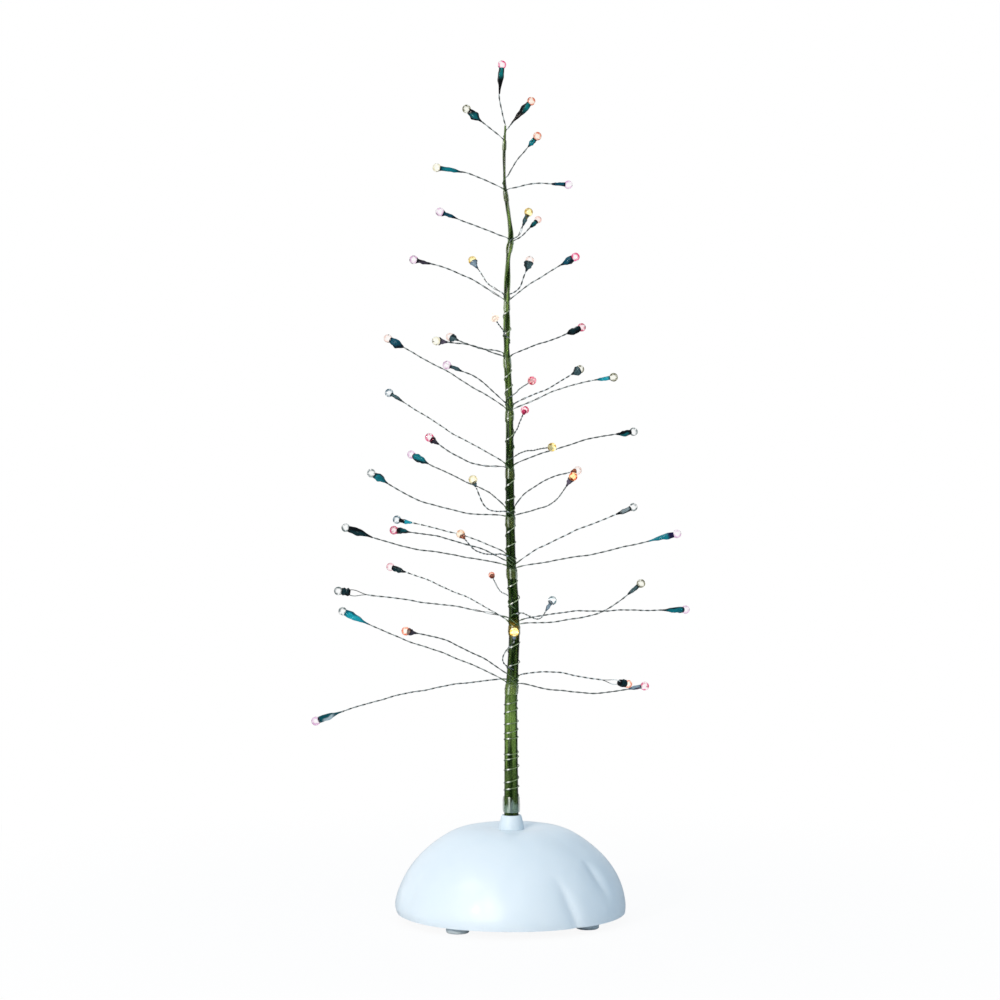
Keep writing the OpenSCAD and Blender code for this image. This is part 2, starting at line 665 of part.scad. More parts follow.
// Trunk axis and radius at a height above the crown
function trunk_at(h) = [lookup(h, sway), 0, crown_z + h];
function trunk_r(h) = (trunk_foot_d + (trunk_tip_d - trunk_foot_d) * max(h, 0) / trunk_h) / 2;
row_gap = 0.2;
function trunk_rows(low, high) =
    concat([low], [for (s = sway) if (s[0] > low + row_gap && s[0] < high - row_gap) s[0]], [high]);
function trunk_ring(h, grow) = ring(trunk_at(h), trunk_r(h) + grow, trunk_sides);
function reverse(list) = [for (i = [len(list) - 1 : -1 : 0]) list[i]];
core_hole = core_d / 2 + seat;

// Steel wire that stiffens the trunk
module support_wire() {
    color("gray") skin([for (h = trunk_rows(-bundle_drop, core_top)) ring(trunk_at(h), core_d / 2, 8)]);
}

// Bundle of lamp wires round the support wire
module wire_bundle() {
    outside = [for (h = trunk_rows(-bundle_drop, trunk_h)) trunk_ring(h, -film_t - fit)];
    bore_rows = reverse(trunk_rows(-bundle_drop, core_top + 1));
    bore = [for (h = bore_rows) ring(trunk_at(h), core_hole, trunk_sides)];
    color("darkgreen") skin(concat(bore, outside));
}

// Translucent green film wrapped round the bundle
module trunk_film() {
    rows = trunk_rows(1 - collar_sink - spigot_l, trunk_h);
    outside = [for (h = rows) trunk_ring(h, 0)];
    inside = [for (h = reverse(rows)) trunk_ring(h, -film_t)];
    color("olivedrab") hollow_skin(concat(outside, inside));
}

// Tube of clear film round a stretch of the trunk
module clear_tube(low, high) {
    gap = 3 * fit;
    rows = [low, high];
    outside = [for (h = rows) trunk_ring(h, gap + band_t)];
    inside = [for (h = reverse(rows)) trunk_ring(h, gap)];
    hollow_skin(concat(outside, inside));
}

// Where the tiers leave the trunk, and the clear band and the bound stretch below each
clear_of_wire = wire_d / 2 + 0.4;
collar_top = collar_h - collar_sink;
function exit_of(b) = trunk_h - drop(b[0]);
function low_exit(k) = min([for (b = tiers[k]) exit_of(b)]);
function high_exit(k) = max([for (b = tiers[k]) exit_of(b)]);
function band_low(k) = low_exit(k) - clear_of_wire - band_h;
function bound_low(k) =
    (k == 0 ? collar_top + seat + boot_h : high_exit(k - 1) + clear_of_wire) + binding_d / 2 + seat;
function bound_loops(k) = floor((band_low(k) - seat - binding_d / 2 - bound_low(k)) / binding_pitch);
function binding_at(h, a) =
    trunk_at(h) + (trunk_r(h) + fit + binding_d / 2) * [cos(a), sin(a), 0];
function binding_route(k) =
    [for (i = [0 : bound_loops(k) * binding_rings]) let (loops = i / binding_rings)
        binding_at(bound_low(k) + binding_pitch * loops, 360 * loops)];

// Fine wire wound round the trunk between the tiers
module binding_wire() {
    for (k = [0 : bound_tiers - 1]) if (bound_loops(k) > 0) {
        points = binding_route(k);
        gaps = [for (i = [0 : max(0, len(points) - 1 - binding_rings)])
            norm(points[min(i + binding_rings, len(points) - 1)] - points[i]) - binding_d];
        echo(least_gap_in_binding = k + 1, gap = min(gaps));
        color("darkseagreen") tube(points, binding_d, 6, coil_off);
    }
}

// Clear shrink tube at the trunk's foot
module foot_tube() {
    color("lightgray") clear_tube(collar_top + seat, collar_top + seat + boot_h);
}

// Clear bands, one under each tier
module tier_bands() {
    color("honeydew") for (k = [0 : tier_count - 1]) clear_tube(band_low(k), band_low(k) + band_h);
}

// Branches: the frame of one branch, its curve from the trunk to the sleeve, and the lamp at its end
function heading_of(b) = [cos(b[1]), sin(b[1]), 0];
function lean(slope, b) = cos(slope) * heading_of(b) + [0, 0, sin(slope)];
function root_of(b) =
    b[0] == 0 ? trunk_at(trunk_h) + [0, 0, fit + wire_d / 2 * abs(cos(b[4]))]
    : trunk_at(exit_of(b)) + (trunk_r(exit_of(b)) + fit + wire_d / 2 * abs(sin(b[4]))) * heading_of(b);
function tail_of(b) =
    trunk_at(exit_of(b)) + b[2] * heading_of(b) + [0, 0, b[3]] - lamp_l * lean(b[5], b);
function branch_route(b) =
    let (p = root_of(b), q = tail_of(b), pull = norm(q - p),
         m = pull * lean(b[4], b), n = pull * lean(b[5], b))
    concat([for (i = [0 : wire_rings - 1]) let (t = i / (wire_rings - 1), u = 1 - t)
        u * u * (1 + 2 * t) * p + t * u * u * m + t * t * (3 - 2 * t) * q - t * t * u * n],
        [q + (tail_bore - seat) * lean(b[5], b)]);

module tier_wires(k) {
    color("darkslategray") for (b = tiers[k])
        tube(branch_route(b), wire_d, 6, [-sin(b[1]), cos(b[1]), 0]);
}

module at_lamp(b) {
    translate(tail_of(b)) rotate([0, 90 - b[5], b[1]]) children();
}

// Shrink sleeves, each a spindle with a bore for the wire and one for the bulb's neck
module tier_sleeves(k) {
    tail_r = wire_d / 2 + fit;
    neck_r = bulb_neck_d / 2 + fit;
    color("teal") for (b = tiers[k]) at_lamp(b) rotate_extrude() polygon([
        [tail_r, 0], [tail_r + sleeve_wall, 0],
        for (s = sleeve_belly) [sleeve_d / 2 - s[1], sleeve_l * s[0]],
        [neck_r + sleeve_wall, sleeve_l], [neck_r, sleeve_l], [neck_r, sleeve_l - neck_bore],
        [0, sleeve_l - neck_bore], [0, tail_bore], [tail_r, tail_bore]]);
}

// Glass bulbs of one tint
module tinted_bulbs(t) {
    color(tint_colours[t]) for (tier = tiers, b = tier) if (b[6] == t) at_lamp(b) translate([0, 0, lamp_l]) {
        sphere(d = bulb_d);
        translate([0, 0, -globe_out - bulb_neck_l]) cylinder(d = bulb_neck_d, h = bulb_neck_l + globe_out);
    }
}

base_shell();
trunk_collar();
cover_plate();
cover_screws();
rubber_feet();
battery_door();
battery_cells();
contact_springs();
contact_plates();
link_plates();
switch_can();
switch_slider();
switch_terminals();
positive_lead();
switched_lead();
negative_lead();
splice_caps();
lamp_tails();
glue_plug();
support_wire();
wire_bundle();
trunk_film();
binding_wire();
foot_tube();
tier_bands();
for (k = [0 : tier_count - 1]) {
    tier_wires(k);
    tier_sleeves(k);
}
for (t = [0 : len(tint_names) - 1]) tinted_bulbs(t);
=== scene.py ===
"""Looks of a lighted miniature tree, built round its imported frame.

A bound wire trunk stands in a snow mound and gives off tiers of twisted pairs, each with a crinkled sleeve
and a tinted lamp. The places of the pieces are read from the frame. Lengths are in metres, +Z is up, and
the camera looks along +Y.
"""

import logging
import math
from dataclasses import dataclass, field
from enum import Enum
from typing import Any

import bpy
import numpy as np
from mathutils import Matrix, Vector


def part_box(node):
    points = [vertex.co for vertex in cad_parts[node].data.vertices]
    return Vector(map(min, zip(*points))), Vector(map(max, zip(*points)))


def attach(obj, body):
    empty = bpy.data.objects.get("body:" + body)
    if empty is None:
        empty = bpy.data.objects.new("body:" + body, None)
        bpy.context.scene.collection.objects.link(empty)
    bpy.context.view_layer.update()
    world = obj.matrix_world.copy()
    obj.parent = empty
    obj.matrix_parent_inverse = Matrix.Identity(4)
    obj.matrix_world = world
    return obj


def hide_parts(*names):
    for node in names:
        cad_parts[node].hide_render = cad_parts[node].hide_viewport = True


LOG = logging.getLogger("lighted_tree")
MM = 0.001
TAU = 2 * math.pi
UP = np.array([0.0, 0.0, 1.0])
Array = np.ndarray
Span = tuple[float, float]
Colour = tuple[float, float, float]
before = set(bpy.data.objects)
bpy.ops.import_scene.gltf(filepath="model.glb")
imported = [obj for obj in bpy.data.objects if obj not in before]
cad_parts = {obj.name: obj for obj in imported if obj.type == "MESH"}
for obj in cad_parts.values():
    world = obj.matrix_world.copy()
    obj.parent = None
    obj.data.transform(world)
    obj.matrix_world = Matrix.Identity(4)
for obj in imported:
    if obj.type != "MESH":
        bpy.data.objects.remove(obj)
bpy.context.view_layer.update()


def unit(vectors: Array) -> Array:
    """Vectors divided by their lengths, over the last axis."""
    return vectors / np.linalg.norm(vectors, axis=-1, keepdims=True)


def ease(low: float, high: float, value: Array) -> Array:
    """Smooth step: t * t * (3 - 2 t), where t runs from 0 at low to 1 at high."""
    share = np.clip((value - low) / (high - low), 0, 1)
    return share * share * (3 - 2 * share)


def bell(value: Array, middle: float, width: float) -> Array:
    """Bell curve: exp(-((value - middle) / width)^2)."""
    return np.exp(-((value - middle) / width) ** 2)


def wrapped(angle: Array) -> Array:
    """Angles brought to within half a turn of zero."""
    return (angle + math.pi) % TAU - math.pi


def mix(first: Any, second: Any, share: Array) -> Array:
    """Colours or directions between two: first + (second - first) * share."""
    start = np.asarray(first)
    return start + (np.asarray(second) - start) * share[..., None]


def by_height(table: tuple[Span, ...], z: Array) -> Array:
    """Values at heights, read between rows of a height in millimetres and a value."""
    heights, values = zip(*table)
    return np.interp(z / MM, heights, values)


def through(points: Array, step: float, fine: int = 24) -> Array:
    """Even points on a smooth curve through given points.

    Each stretch is the cubic whose slope at a point is half the chord between that point's neighbours; the
    curve is then cut at equal lengths.

    Args:
        points: Rows of the points to go through.
        step: Wanted distance between two points of the result.
        fine: Cuts of each stretch before the lengths are made equal.

    Returns:
        Rows of points, the first and last as given.
    """
    last = len(points) - 1
    place = np.linspace(0, last, fine * last + 1)
    index = np.minimum(place.astype(int), last - 1)
    t = (place - index)[:, None]
    a, b, c, d = (points[np.clip(index + k, 0, last)] for k in (-1, 0, 1, 2))
    square, cube = 2 * a - 5 * b + 4 * c - d, 3 * b - a - 3 * c + d
    curve = 0.5 * (2 * b + (c - a) * t + square * t ** 2 + cube * t ** 3)
    length = np.concatenate([[0.0], np.cumsum(np.linalg.norm(np.diff(curve, axis=0), axis=1))])
    even = np.linspace(0, length[-1], max(3, int(length[-1] / step) + 1))
    return np.stack([np.interp(even, length, curve[:, k]) for k in range(3)], axis=1)


def side_frame(path: Array, square_to: Array) -> tuple[Array, Array, Array]:
    """Tangent t of a path, u = (reference x t) made unit, and v = t x u, at every point.

    Args:
        path: Rows of points.
        square_to: A direction that the path never takes, one or by point.

    Returns:
        The three vectors, row by row.
    """
    tangent = unit(np.gradient(path, axis=0))
    across = unit(np.cross(square_to, tangent))
    return tangent, across, np.cross(tangent, across)


def tube(path: Array, radius: Array | float, sides: int, square_to: Array) -> Array:
    """A circle carried along a path: point + r (cos a u + sin a v) for a round the circle.

    Args:
        path: Rows of points.
        radius: One radius, or one for each point.
        sides: Points round the circle.
        square_to: A direction that the path never takes, one or by point.

    Returns:
        Grid of points, path by circle.
    """
    _, across, upright = side_frame(path, square_to)
    turn = np.linspace(0, TAU, sides, endpoint=False)[None, :, None]
    ring = np.cos(turn) * across[:, None] + np.sin(turn) * upright[:, None]
    return path[:, None] + np.broadcast_to(radius, len(path))[:, None, None] * ring


def lathe(profile: Array, sides: int, foot: Array, axis: Array = UP) -> Array:
    """A profile turned about an axis: foot + h axis + r (cos a u + sin a v).

    Args:
        profile: Rows of radius and height.
        sides: Points round the axis.
        foot: Where height 0 lies.
        axis: Unit direction of the height.

    Returns:
        Grid of points, profile by turn.
    """
    aside = np.array([1.0, 0.0, 0.0]) if abs(axis[0]) < 0.8 else np.array([0.0, 1.0, 0.0])
    across = unit(np.cross(np.cross(axis, aside), axis))
    turn = np.linspace(0, TAU, sides, endpoint=False)[None, :, None]
    ring = np.cos(turn) * across + np.sin(turn) * np.cross(axis, across)
    return foot + profile[:, 1, None, None] * axis + profile[:, 0, None, None] * ring


def rounded(profile: list[Span], step: float) -> Array:
    """A profile of radius and height in millimetres, smoothed through its points, in metres."""
    points = np.array([(r, z, 0.0) for r, z in profile])
    return through(points, step)[:, :2] * MM


def cad_node(node: str) -> bpy.types.Object:
    """The CAD node's object."""
    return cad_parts[node]


def merged(node: str) -> tuple[Array, Array]:
    """Points of a CAD node without doubles, and its triangles on them.

    Args:
        node: Name of the node.

    Returns:
        Rows of points, and rows of three indices.
    """
    mesh = cad_node(node).data
    raw = np.empty(len(mesh.vertices) * 3)
    mesh.vertices.foreach_get("co", raw)
    corners = np.empty(len(mesh.loops), dtype=np.int64)
    mesh.loops.foreach_get("vertex_index", corners)
    points, index = np.unique(np.round(raw.reshape(-1, 3), 6), axis=0, return_inverse=True)
    return points, index.ravel()[corners].reshape(-1, 3)


def solids(node: str) -> list[Array]:
    """Points of each separate solid of a CAD node.

    Every point takes the lowest label among the triangles that it belongs to, until no label changes.

    Args:
        node: Name of the node.

    Returns:
        One array of points for each solid.
    """
    points, triangles = merged(node)
    label = np.arange(len(points))
    while True:
        lowest = label[triangles].min(axis=1)
        fresh = label.copy()
        np.minimum.at(fresh, triangles.ravel(), np.repeat(lowest, 3))
        fresh = fresh[fresh]
        if np.array_equal(fresh, label):
            return [points[label == k] for k in np.unique(label)]
        label = fresh


@dataclass
class Surface:
    """Grids of points gathered into one mesh, with named values at the points for its finish."""

    points: list[Array] = field(default_factory=list)
    quads: list[Array] = field(default_factory=list)
    caps: list[Array] = field(default_factory=list)
    marks: dict[str, list[Array]] = field(default_factory=dict)
    count: int = 0

    def add(self, grid: Array, looped: bool = False, **marks: Any) -> None:
        """Adds a grid that closes round its columns; its end rows are joined, or each gets a flat face.

        Args:
            grid: Rows by columns of points; the columns run counter-clockwise seen from where the rows lead.
            looped: Whether the last row joins the first.
            marks: Values for the points: one number or triple, or an array for each row and column.
        """
        rows, columns = grid.shape[:2]
        index = self.count + np.arange(rows * columns).reshape(rows, columns)
        low = index if looped else index[:-1]
        high = np.roll(index, -1, axis=0) if looped else index[1:]
        quads = np.stack([low, np.roll(low, -1, axis=1), np.roll(high, -1, axis=1), high], axis=-1)
        self.quads.append(quads.reshape(-1, 4))
        if not looped:
            self.caps += [index[0, ::-1], index[-1]]
        self.points.append(grid.reshape(-1, 3))
        for name, value in marks.items():
            wide = np.asarray(value, dtype=float)
            shape = (rows, columns, 3) if wide.ndim and wide.shape[-1] == 3 else (rows, columns)
            flat = np.broadcast_to(wide, shape).reshape(rows * columns, -1)
            self.marks.setdefault(name, []).append(flat)
        self.count += rows * columns

    def build(self, name: str, sharp: float = 50.0) -> bpy.types.Object:
        """Writes the gathered grids into one object.

        Args:
            name: Name of the piece.
            sharp: Angle in degrees past which an edge stays sharp.

        Returns:
            The object, at the origin.
        """
        quads = np.concatenate(self.quads)
        corners = np.concatenate([quads.ravel(), *self.caps]).astype(np.int32)
        sizes = np.concatenate([np.full(len(quads), 4), [len(cap) for cap in self.caps]]).astype(np.int32)
        starts = np.concatenate([[0], np.cumsum(sizes)[:-1]]).astype(np.int32)
        mesh = bpy.data.meshes.new(name)
        mesh.vertices.add(self.count)
        mesh.vertices.foreach_set("co", np.concatenate(self.points).astype(np.float32).ravel())
        mesh.loops.add(len(corners))
        mesh.loops.foreach_set("vertex_index", corners)
        mesh.polygons.add(len(sizes))
        mesh.polygons.foreach_set("loop_start", starts)
        mesh.polygons.foreach_set("use_smooth", np.ones(len(sizes), dtype=bool))
        mesh.update(calc_edges=True)
        mesh.validate()
        mesh.set_sharp_from_angle(angle=math.radians(sharp))
        for mark, parts in self.marks.items():
            values = np.concatenate(parts).astype(np.float32)
            kind, slot = ("FLOAT_VECTOR", "vector") if values.shape[1] == 3 else ("FLOAT", "value")
            mesh.attributes.new(mark, kind, "POINT").data.foreach_set(slot, values.ravel())
        piece = bpy.data.objects.new(name, mesh)
        bpy.context.scene.collection.objects.link(piece)
        return piece


class Value:
    """A shader socket that takes part in Python expressions, each operator adding a Math node."""

    def __init__(self, sheet: "NodeSheet", socket: bpy.types.NodeSocket) -> None:
        """Keeps the socket and the sheet of nodes that it stands in."""
        self.sheet = sheet
        self.socket = socket

    def _math(self, operation: str, first: Any, second: Any = 0.0) -> "Value":
        """A Math node on two values."""
        return self.sheet.node("ShaderNodeMath", {"operation": operation}, {0: first, 1: second})

    def __add__(self, other: Any) -> "Value":
        """self + other."""
        return self._math("ADD", self, other)

    def __radd__(self, other: Any) -> "Value":
        """other + self."""
        return self._math("ADD", other, self)

    def __sub__(self, other: Any) -> "Value":
        """self - other."""
        return self._math("SUBTRACT", self, other)

    def __rsub__(self, other: Any) -> "Value":
        """other - self."""
        return self._math("SUBTRACT", other, self)

    def __mul__(self, other: Any) -> "Value":
        """self * other."""
        return self._math("MULTIPLY", self, other)

    def __rmul__(self, other: Any) -> "Value":
        """other * self."""
        return self._math("MULTIPLY", other, self)

    def __abs__(self) -> "Value":
        """Size of the value without its sign."""
        return self._math("ABSOLUTE", self)

    def step(self, low: float, high: float) -> "Value":
        """Smooth step of the value from 0 at low to 1 at high."""
        return self.sheet.node("ShaderNodeMapRange", {"interpolation_type": "SMOOTHSTEP"},
                               {"Value": self, "From Min": low, "From Max": high})

    def spread(self, ends: Span) -> "Value":
        """Brings a value between 0 and 1 to between two ends."""
        return ends[0] + (ends[1] - ends[0]) * self


class NodeSheet:
    """Node tree of one material or of the world."""

    def __init__(self, tree: bpy.types.NodeTree) -> None:
        """Takes the tree and empties it."""
        self.tree = tree
        tree.nodes.clear()

    def node(self, kind: str, settings: dict[str, Any] | None = None, sockets: dict[Any, Any] | None = None,
             out: int | str = 0) -> Value | None:
        """Adds a node.

        Args:
            kind: Type of the node.
            settings: Properties to set first.
            sockets: Values or links of its inputs, by name or number.
            out: Which output to return.

        Returns:
            The output, if the node has any.
        """
        made = self.tree.nodes.new(kind)
        for name, value in (settings or {}).items():
            setattr(made, name, value)
        for key, value in (sockets or {}).items():
            socket = made.inputs[key]
            if isinstance(value, Value):
                self.tree.links.new(value.socket, socket)
            elif socket.type == "RGBA":
                socket.default_value = (*value[:3], 1.0)
            else:
                socket.default_value = value
        return Value(self, made.outputs[out]) if len(made.outputs) else None

    def place(self, turn: float = 0.0, scale: Colour = (1.0, 1.0, 1.0)) -> Value:
        """Object coordinates, turned and stretched.

        Args:
            turn: Turn about +Z in degrees.
            scale: Stretch along each axis.

        Returns:
            The coordinates.
        """
        spot = self.node("ShaderNodeTexCoord", out="Object")
        if not turn and scale == (1.0, 1.0, 1.0):
            return spot
        return self.node("ShaderNodeMapping", {"vector_type": "POINT"},
                         {"Vector": spot, "Rotation": (0.0, 0.0, math.radians(turn)), "Scale": scale})

    def noise(self, scale: float, detail: float = 2.0, spot: Value | None = None) -> Value:
        """Noise between 0 and 1 over object coordinates."""
        return self.node("ShaderNodeTexNoise", {"noise_dimensions": "3D"},
                         {"Vector": spot or self.place(), "Scale": scale, "Detail": detail,
                          "Roughness": 0.55})

    def mark(self, name: str, out: str = "Fac") -> Value:
        """A value written on the mesh's points."""
        return self.node("ShaderNodeAttribute", {"attribute_name": name}, out=out)

    def blend(self, share: Any, first: Any, second: Any) -> Value:
        """Mix of two colours."""
        return self.node("ShaderNodeMix", {"data_type": "RGBA", "blend_type": "MIX"},
                         {0: share, 6: first, 7: second}, out=2)

    def relief(self, height: Value, depth: float) -> Value:
        """Bumped normal from a height between 0 and 1 and a depth in metres."""
        return self.node("ShaderNodeBump", None, {"Strength": 1.0, "Distance": depth, "Height": height})


@dataclass(frozen=True)
class Finish:
    """A finish with a name; each kind paints the sockets of one Principled shader."""

    name: str

    def paint(self, sheet: NodeSheet) -> dict[str, Any]:
        """Values and links for the shader's sockets."""
        raise NotImplementedError

    def material(self) -> bpy.types.Material:
        """The finish's material, made once; the frame's own plain one holds the bare name.

        Returns:
            The material, found or made.
        """
        name = f"{self.name}_look"
        made = bpy.data.materials.get(name)
        if made is None:
            made = bpy.data.materials.new(name)
            made.use_nodes = True
            sheet = NodeSheet(made.node_tree)
            shader = sheet.node("ShaderNodeBsdfPrincipled", None, self.paint(sheet))
            sheet.node("ShaderNodeOutputMaterial", None, {"Surface": shader})
        return made


@dataclass(frozen=True)
class Moulding(Finish):
    """Moulded plastic or rubber: two close shades that drift over the part, a fine grain and soft lumps."""

    pale: Colour
    deep: Colour
    drift: float
    gloss: Span
    grain: float = 1400.0
    depth: float = 0.02 * MM
    inside: float = 0.0
    coat: float = 0.0
    lumps: float = 0.0

    def paint(self, sheet: NodeSheet) -> dict[str, Any]:
        """Shade follows a slow noise, roughness a fine one, and the normal the fine one and the lumps.

        Args:
            sheet: Node sheet of the material.

        Returns:
            Values and links for the shader's sockets.
        """
        slow = sheet.noise(self.drift, 3.0)
        fine = sheet.noise(self.grain)
        height = fine + self.lumps * sheet.noise(3 * self.drift, 1.0) if self.lumps else fine
        return {"Base Color": sheet.blend(slow.step(0.3, 0.7), self.pale, self.deep),
                "Roughness": fine.spread(self.gloss), "Normal": sheet.relief(height, self.depth),
                "Subsurface Weight": self.inside, "Subsurface Radius": (1.0, 1.1, 1.2),
                "Subsurface Scale": 1.5 * MM, "Coat Weight": self.coat, "Coat Roughness": 0.07}


@dataclass(frozen=True)
class Metal(Finish):
    """Rolled or turned metal: fine lines along one direction and a little tarnish."""

    bright: Colour
    dull: Colour
    turn: float = 0.0
    grain: Colour = (80.0, 1600.0, 1600.0)
    tarnish: float = 240.0
    gloss: Span = (0.2, 0.42)
    depth: float = 0.01 * MM

    def paint(self, sheet: NodeSheet) -> dict[str, Any]:
        """Roughness and relief follow stretched noise, the colour a slow one.

        Args:
            sheet: Node sheet of the material.

        Returns:
            Values and links for the shader's sockets.
        """
        lines = sheet.noise(1.0, 3.0, sheet.place(self.turn, self.grain))
        stain = sheet.noise(self.tarnish, 3.0)
        return {"Base Color": sheet.blend(stain.step(0.35, 0.75), self.bright, self.dull), "Metallic": 1.0,
                "Roughness": lines.spread(self.gloss), "Normal": sheet.relief(lines, self.depth)}


@dataclass(frozen=True)
class CellJacket(Finish):
    """A cell's film jacket without print, with its bare steel ends."""

    jacket: Colour
    shade: Colour
    steel: Colour
    turn: float
    reach: float = 19.6 * MM
    edge: float = 0.05 * MM
    wear: float = 420.0
    gloss: Span = (0.24, 0.42)
    depth: float = 0.01 * MM

    def paint(self, sheet: NodeSheet) -> dict[str, Any]:
        """Steel past the jacket's reach along the cells, film between.

        Args:
            sheet: Node sheet of the material.

        Returns:
            Values and links for the shader's sockets.
        """
        spot = sheet.place(-self.turn)
        along = sheet.node("ShaderNodeSeparateXYZ", None, {"Vector": spot}, out="X")
        bare = abs(along).step(self.reach - self.edge, self.reach + self.edge)
        scuff = sheet.noise(self.wear, 4.0)
        film = sheet.blend(scuff.step(0.35, 0.8), self.jacket, self.shade)
        return {"Base Color": sheet.blend(bare, film, self.steel), "Metallic": bare,
                "Roughness": scuff.spread(self.gloss), "Normal": sheet.relief(scuff, self.depth)}


@dataclass(frozen=True)
class Lacquer(Finish):
    """Lacquered or sleeved wire and film whose colour is written on its points."""

    speckle: Colour
    grain: float
    gloss: Span = (0.3, 0.5)
    mottle: float = 0.45
    depth: float = 0.015 * MM
    shine: float = 0.15
    metal: float = 0.0

    def paint(self, sheet: NodeSheet) -> dict[str, Any]:
        """The points' tone, mottled towards a second colour, with worn gloss.

        Args:
            sheet: Node sheet of the material.

        Returns:
            Values and links for the shader's sockets.
        """
        fine = sheet.noise(self.grain, 3.0)
        slow = sheet.noise(self.grain / 5)
        tone = sheet.mark("tone", "Color")
        return {"Base Color": sheet.blend(self.mottle * slow.step(0.5, 0.75), tone, self.speckle),
                "Roughness": fine.spread(self.gloss), "Normal": sheet.relief(fine, self.depth),
                "Specular IOR Level": self.shine, "Metallic": self.metal}


@dataclass(frozen=True)
class Film(Finish):
    """Thin see-through film whose tone is written on its points: glossy, cloudier where it creases, with
    painted highlight streaks and a painted lamp glow.
    """

    cloud: Colour
    cover: Span
    gloss: Span
    bend: float
    crease_and_highlight: Colour = (1500.0, 1500.0, 160.0)
    # Colour of the painted highlight streaks.
    white: Colour = (0.90, 0.98, 0.84)
    # Colour of the painted glow from the lamp beside the trunk; then the cover that this glow adds.
    lit: Colour = (0.24, 0.15, 0.012)
    painted_glow_cover: float = 0.35
    # Cover that the painted highlight streaks add.
    painted_highlight_cover: float = 0.5
    depth: float = 0.015 * MM

    def paint(self, sheet: NodeSheet) -> dict[str, Any]:
        """Alpha, colour and relief follow creases in the film; painted highlight streaks along the trunk
        whiten it, and a painted glow from a lamp beside it tints it amber.

        Args:
            sheet: Node sheet of the material.

        Returns:
            Values and links for the shader's sockets.
        """
        # Creases in the film: they cloud it, roughen it, bump it and break up the painted highlight streaks.
        crease_and_highlight = sheet.noise(1.0, 3.0, sheet.place(0.0, self.crease_and_highlight))
        fold = crease_and_highlight.step(0.45, 0.75)
        # Painted glow from the lamp before the trunk, and painted highlight streaks.
        painted_glow = sheet.mark("painted_glow")
        line = sheet.mark("crease_and_highlight") * (0.4 + 0.6 * crease_and_highlight.step(0.35, 0.6))
        colour = sheet.blend(0.3 * fold, sheet.mark("tone", "Color"), self.cloud)
        colour = sheet.blend(line, sheet.blend(painted_glow, colour, self.lit), self.white)
        return {"Base Color": colour,
                "Alpha": fold.spread(self.cover) + self.painted_glow_cover * painted_glow + self.painted_highlight_cover * line,
                "Roughness": crease_and_highlight.spread(self.gloss), "IOR": self.bend,
                "Normal": sheet.relief(crease_and_highlight, self.depth)}


@dataclass(frozen=True)
class LampGlass(Finish):
    """Lamp glass: its points give the colour of the heart and of the rim, and how far the lamp is lit."""

    patches: float = 1250.0
    bend: float = 1.25
    light: float = 0.8
    depth: float = 0.04 * MM

    def paint(self, sheet: NodeSheet) -> dict[str, Any]:
        """The rim's colour shows where the glass turns away, in patches; a lit lamp gives its own light.

        Args:
            sheet: Node sheet of the material.

        Returns:
            Values and links for the shader's sockets.
        """
        facing = sheet.node("ShaderNodeLayerWeight", None, {"Blend": 0.5}, out="Facing")
        patch = sheet.noise(self.patches, 1.0).step(0.46, 0.54)
        edge = facing.step(0.02, 0.26) * (0.05 + 0.95 * patch)
        colour = sheet.blend(edge, sheet.mark("heart", "Color"), sheet.mark("rim", "Color"))
        return {"Base Color": colour, "Roughness": 0.02 + 0.06 * patch, "Transmission Weight": 1.0,
                "IOR": self.bend, "Emission Color": sheet.blend(sheet.mark("lit"), (0.0, 0.0, 0.0), colour),
                "Emission Strength": self.light, "Normal": sheet.relief(patch, self.depth)}


@dataclass(frozen=True)
class HotMelt(Finish):
    """Set hot glue: milky, drawn into soft strings."""

    milk: Colour
    amber: Colour
    strings: float = 500.0
    gloss: Span = (0.2, 0.4)
    depth: float = 0.15 * MM

    def paint(self, sheet: NodeSheet) -> dict[str, Any]:
        """Colour and relief follow a slow noise.

        Args:
            sheet: Node sheet of the material.

        Returns:
            Values and links for the shader's sockets.
        """
        flow = sheet.noise(self.strings)
        return {"Base Color": sheet.blend(flow.step(0.3, 0.7), self.milk, self.amber),
                "Roughness": flow.spread(self.gloss), "Transmission Weight": 0.25, "Subsurface Weight": 0.3,
                "Subsurface Scale": 1.0 * MM, "Normal": sheet.relief(flow, self.depth)}


SNOW = Moulding("snow_plastic", (0.80, 0.885, 0.94), (0.775, 0.87, 0.93), 30.0, (0.34, 0.46), grain=700.0,
                inside=0.15, coat=0.16, lumps=30.0)
COLLAR = Moulding("collar_plastic", (0.79, 0.88, 0.935), (0.75, 0.86, 0.92), 120.0, (0.42, 0.55),
                  grain=900.0, inside=0.1)
COVER = Moulding("cover_plastic", (0.70, 0.76, 0.80), (0.66, 0.72, 0.77), 60.0, (0.42, 0.6), grain=2200.0,
                 depth=0.05 * MM)
RUBBER = Moulding("foot_rubber", (0.68, 0.78, 0.82), (0.62, 0.72, 0.77), 300.0, (0.6, 0.8), grain=2600.0,
                  depth=0.04 * MM)
SWITCH = Moulding("switch_plastic", (0.02, 0.02, 0.022), (0.035, 0.035, 0.037), 400.0, (0.4, 0.6),
                  grain=3000.0, depth=0.03 * MM)
RED_LEAD = Moulding("red_lead", (0.45, 0.03, 0.025), (0.36, 0.02, 0.02), 400.0, (0.25, 0.45))
BLACK_LEAD = Moulding("black_lead", (0.018, 0.018, 0.02), (0.03, 0.03, 0.033), 400.0, (0.25, 0.45))
SPLICE = Moulding("splice_plastic", (0.72, 0.72, 0.66), (0.66, 0.66, 0.6), 500.0, (0.2, 0.4), inside=0.3)
SCREW = Metal("screw_steel", (0.62, 0.62, 0.60), (0.42, 0.42, 0.41), grain=(900.0, 900.0, 900.0))
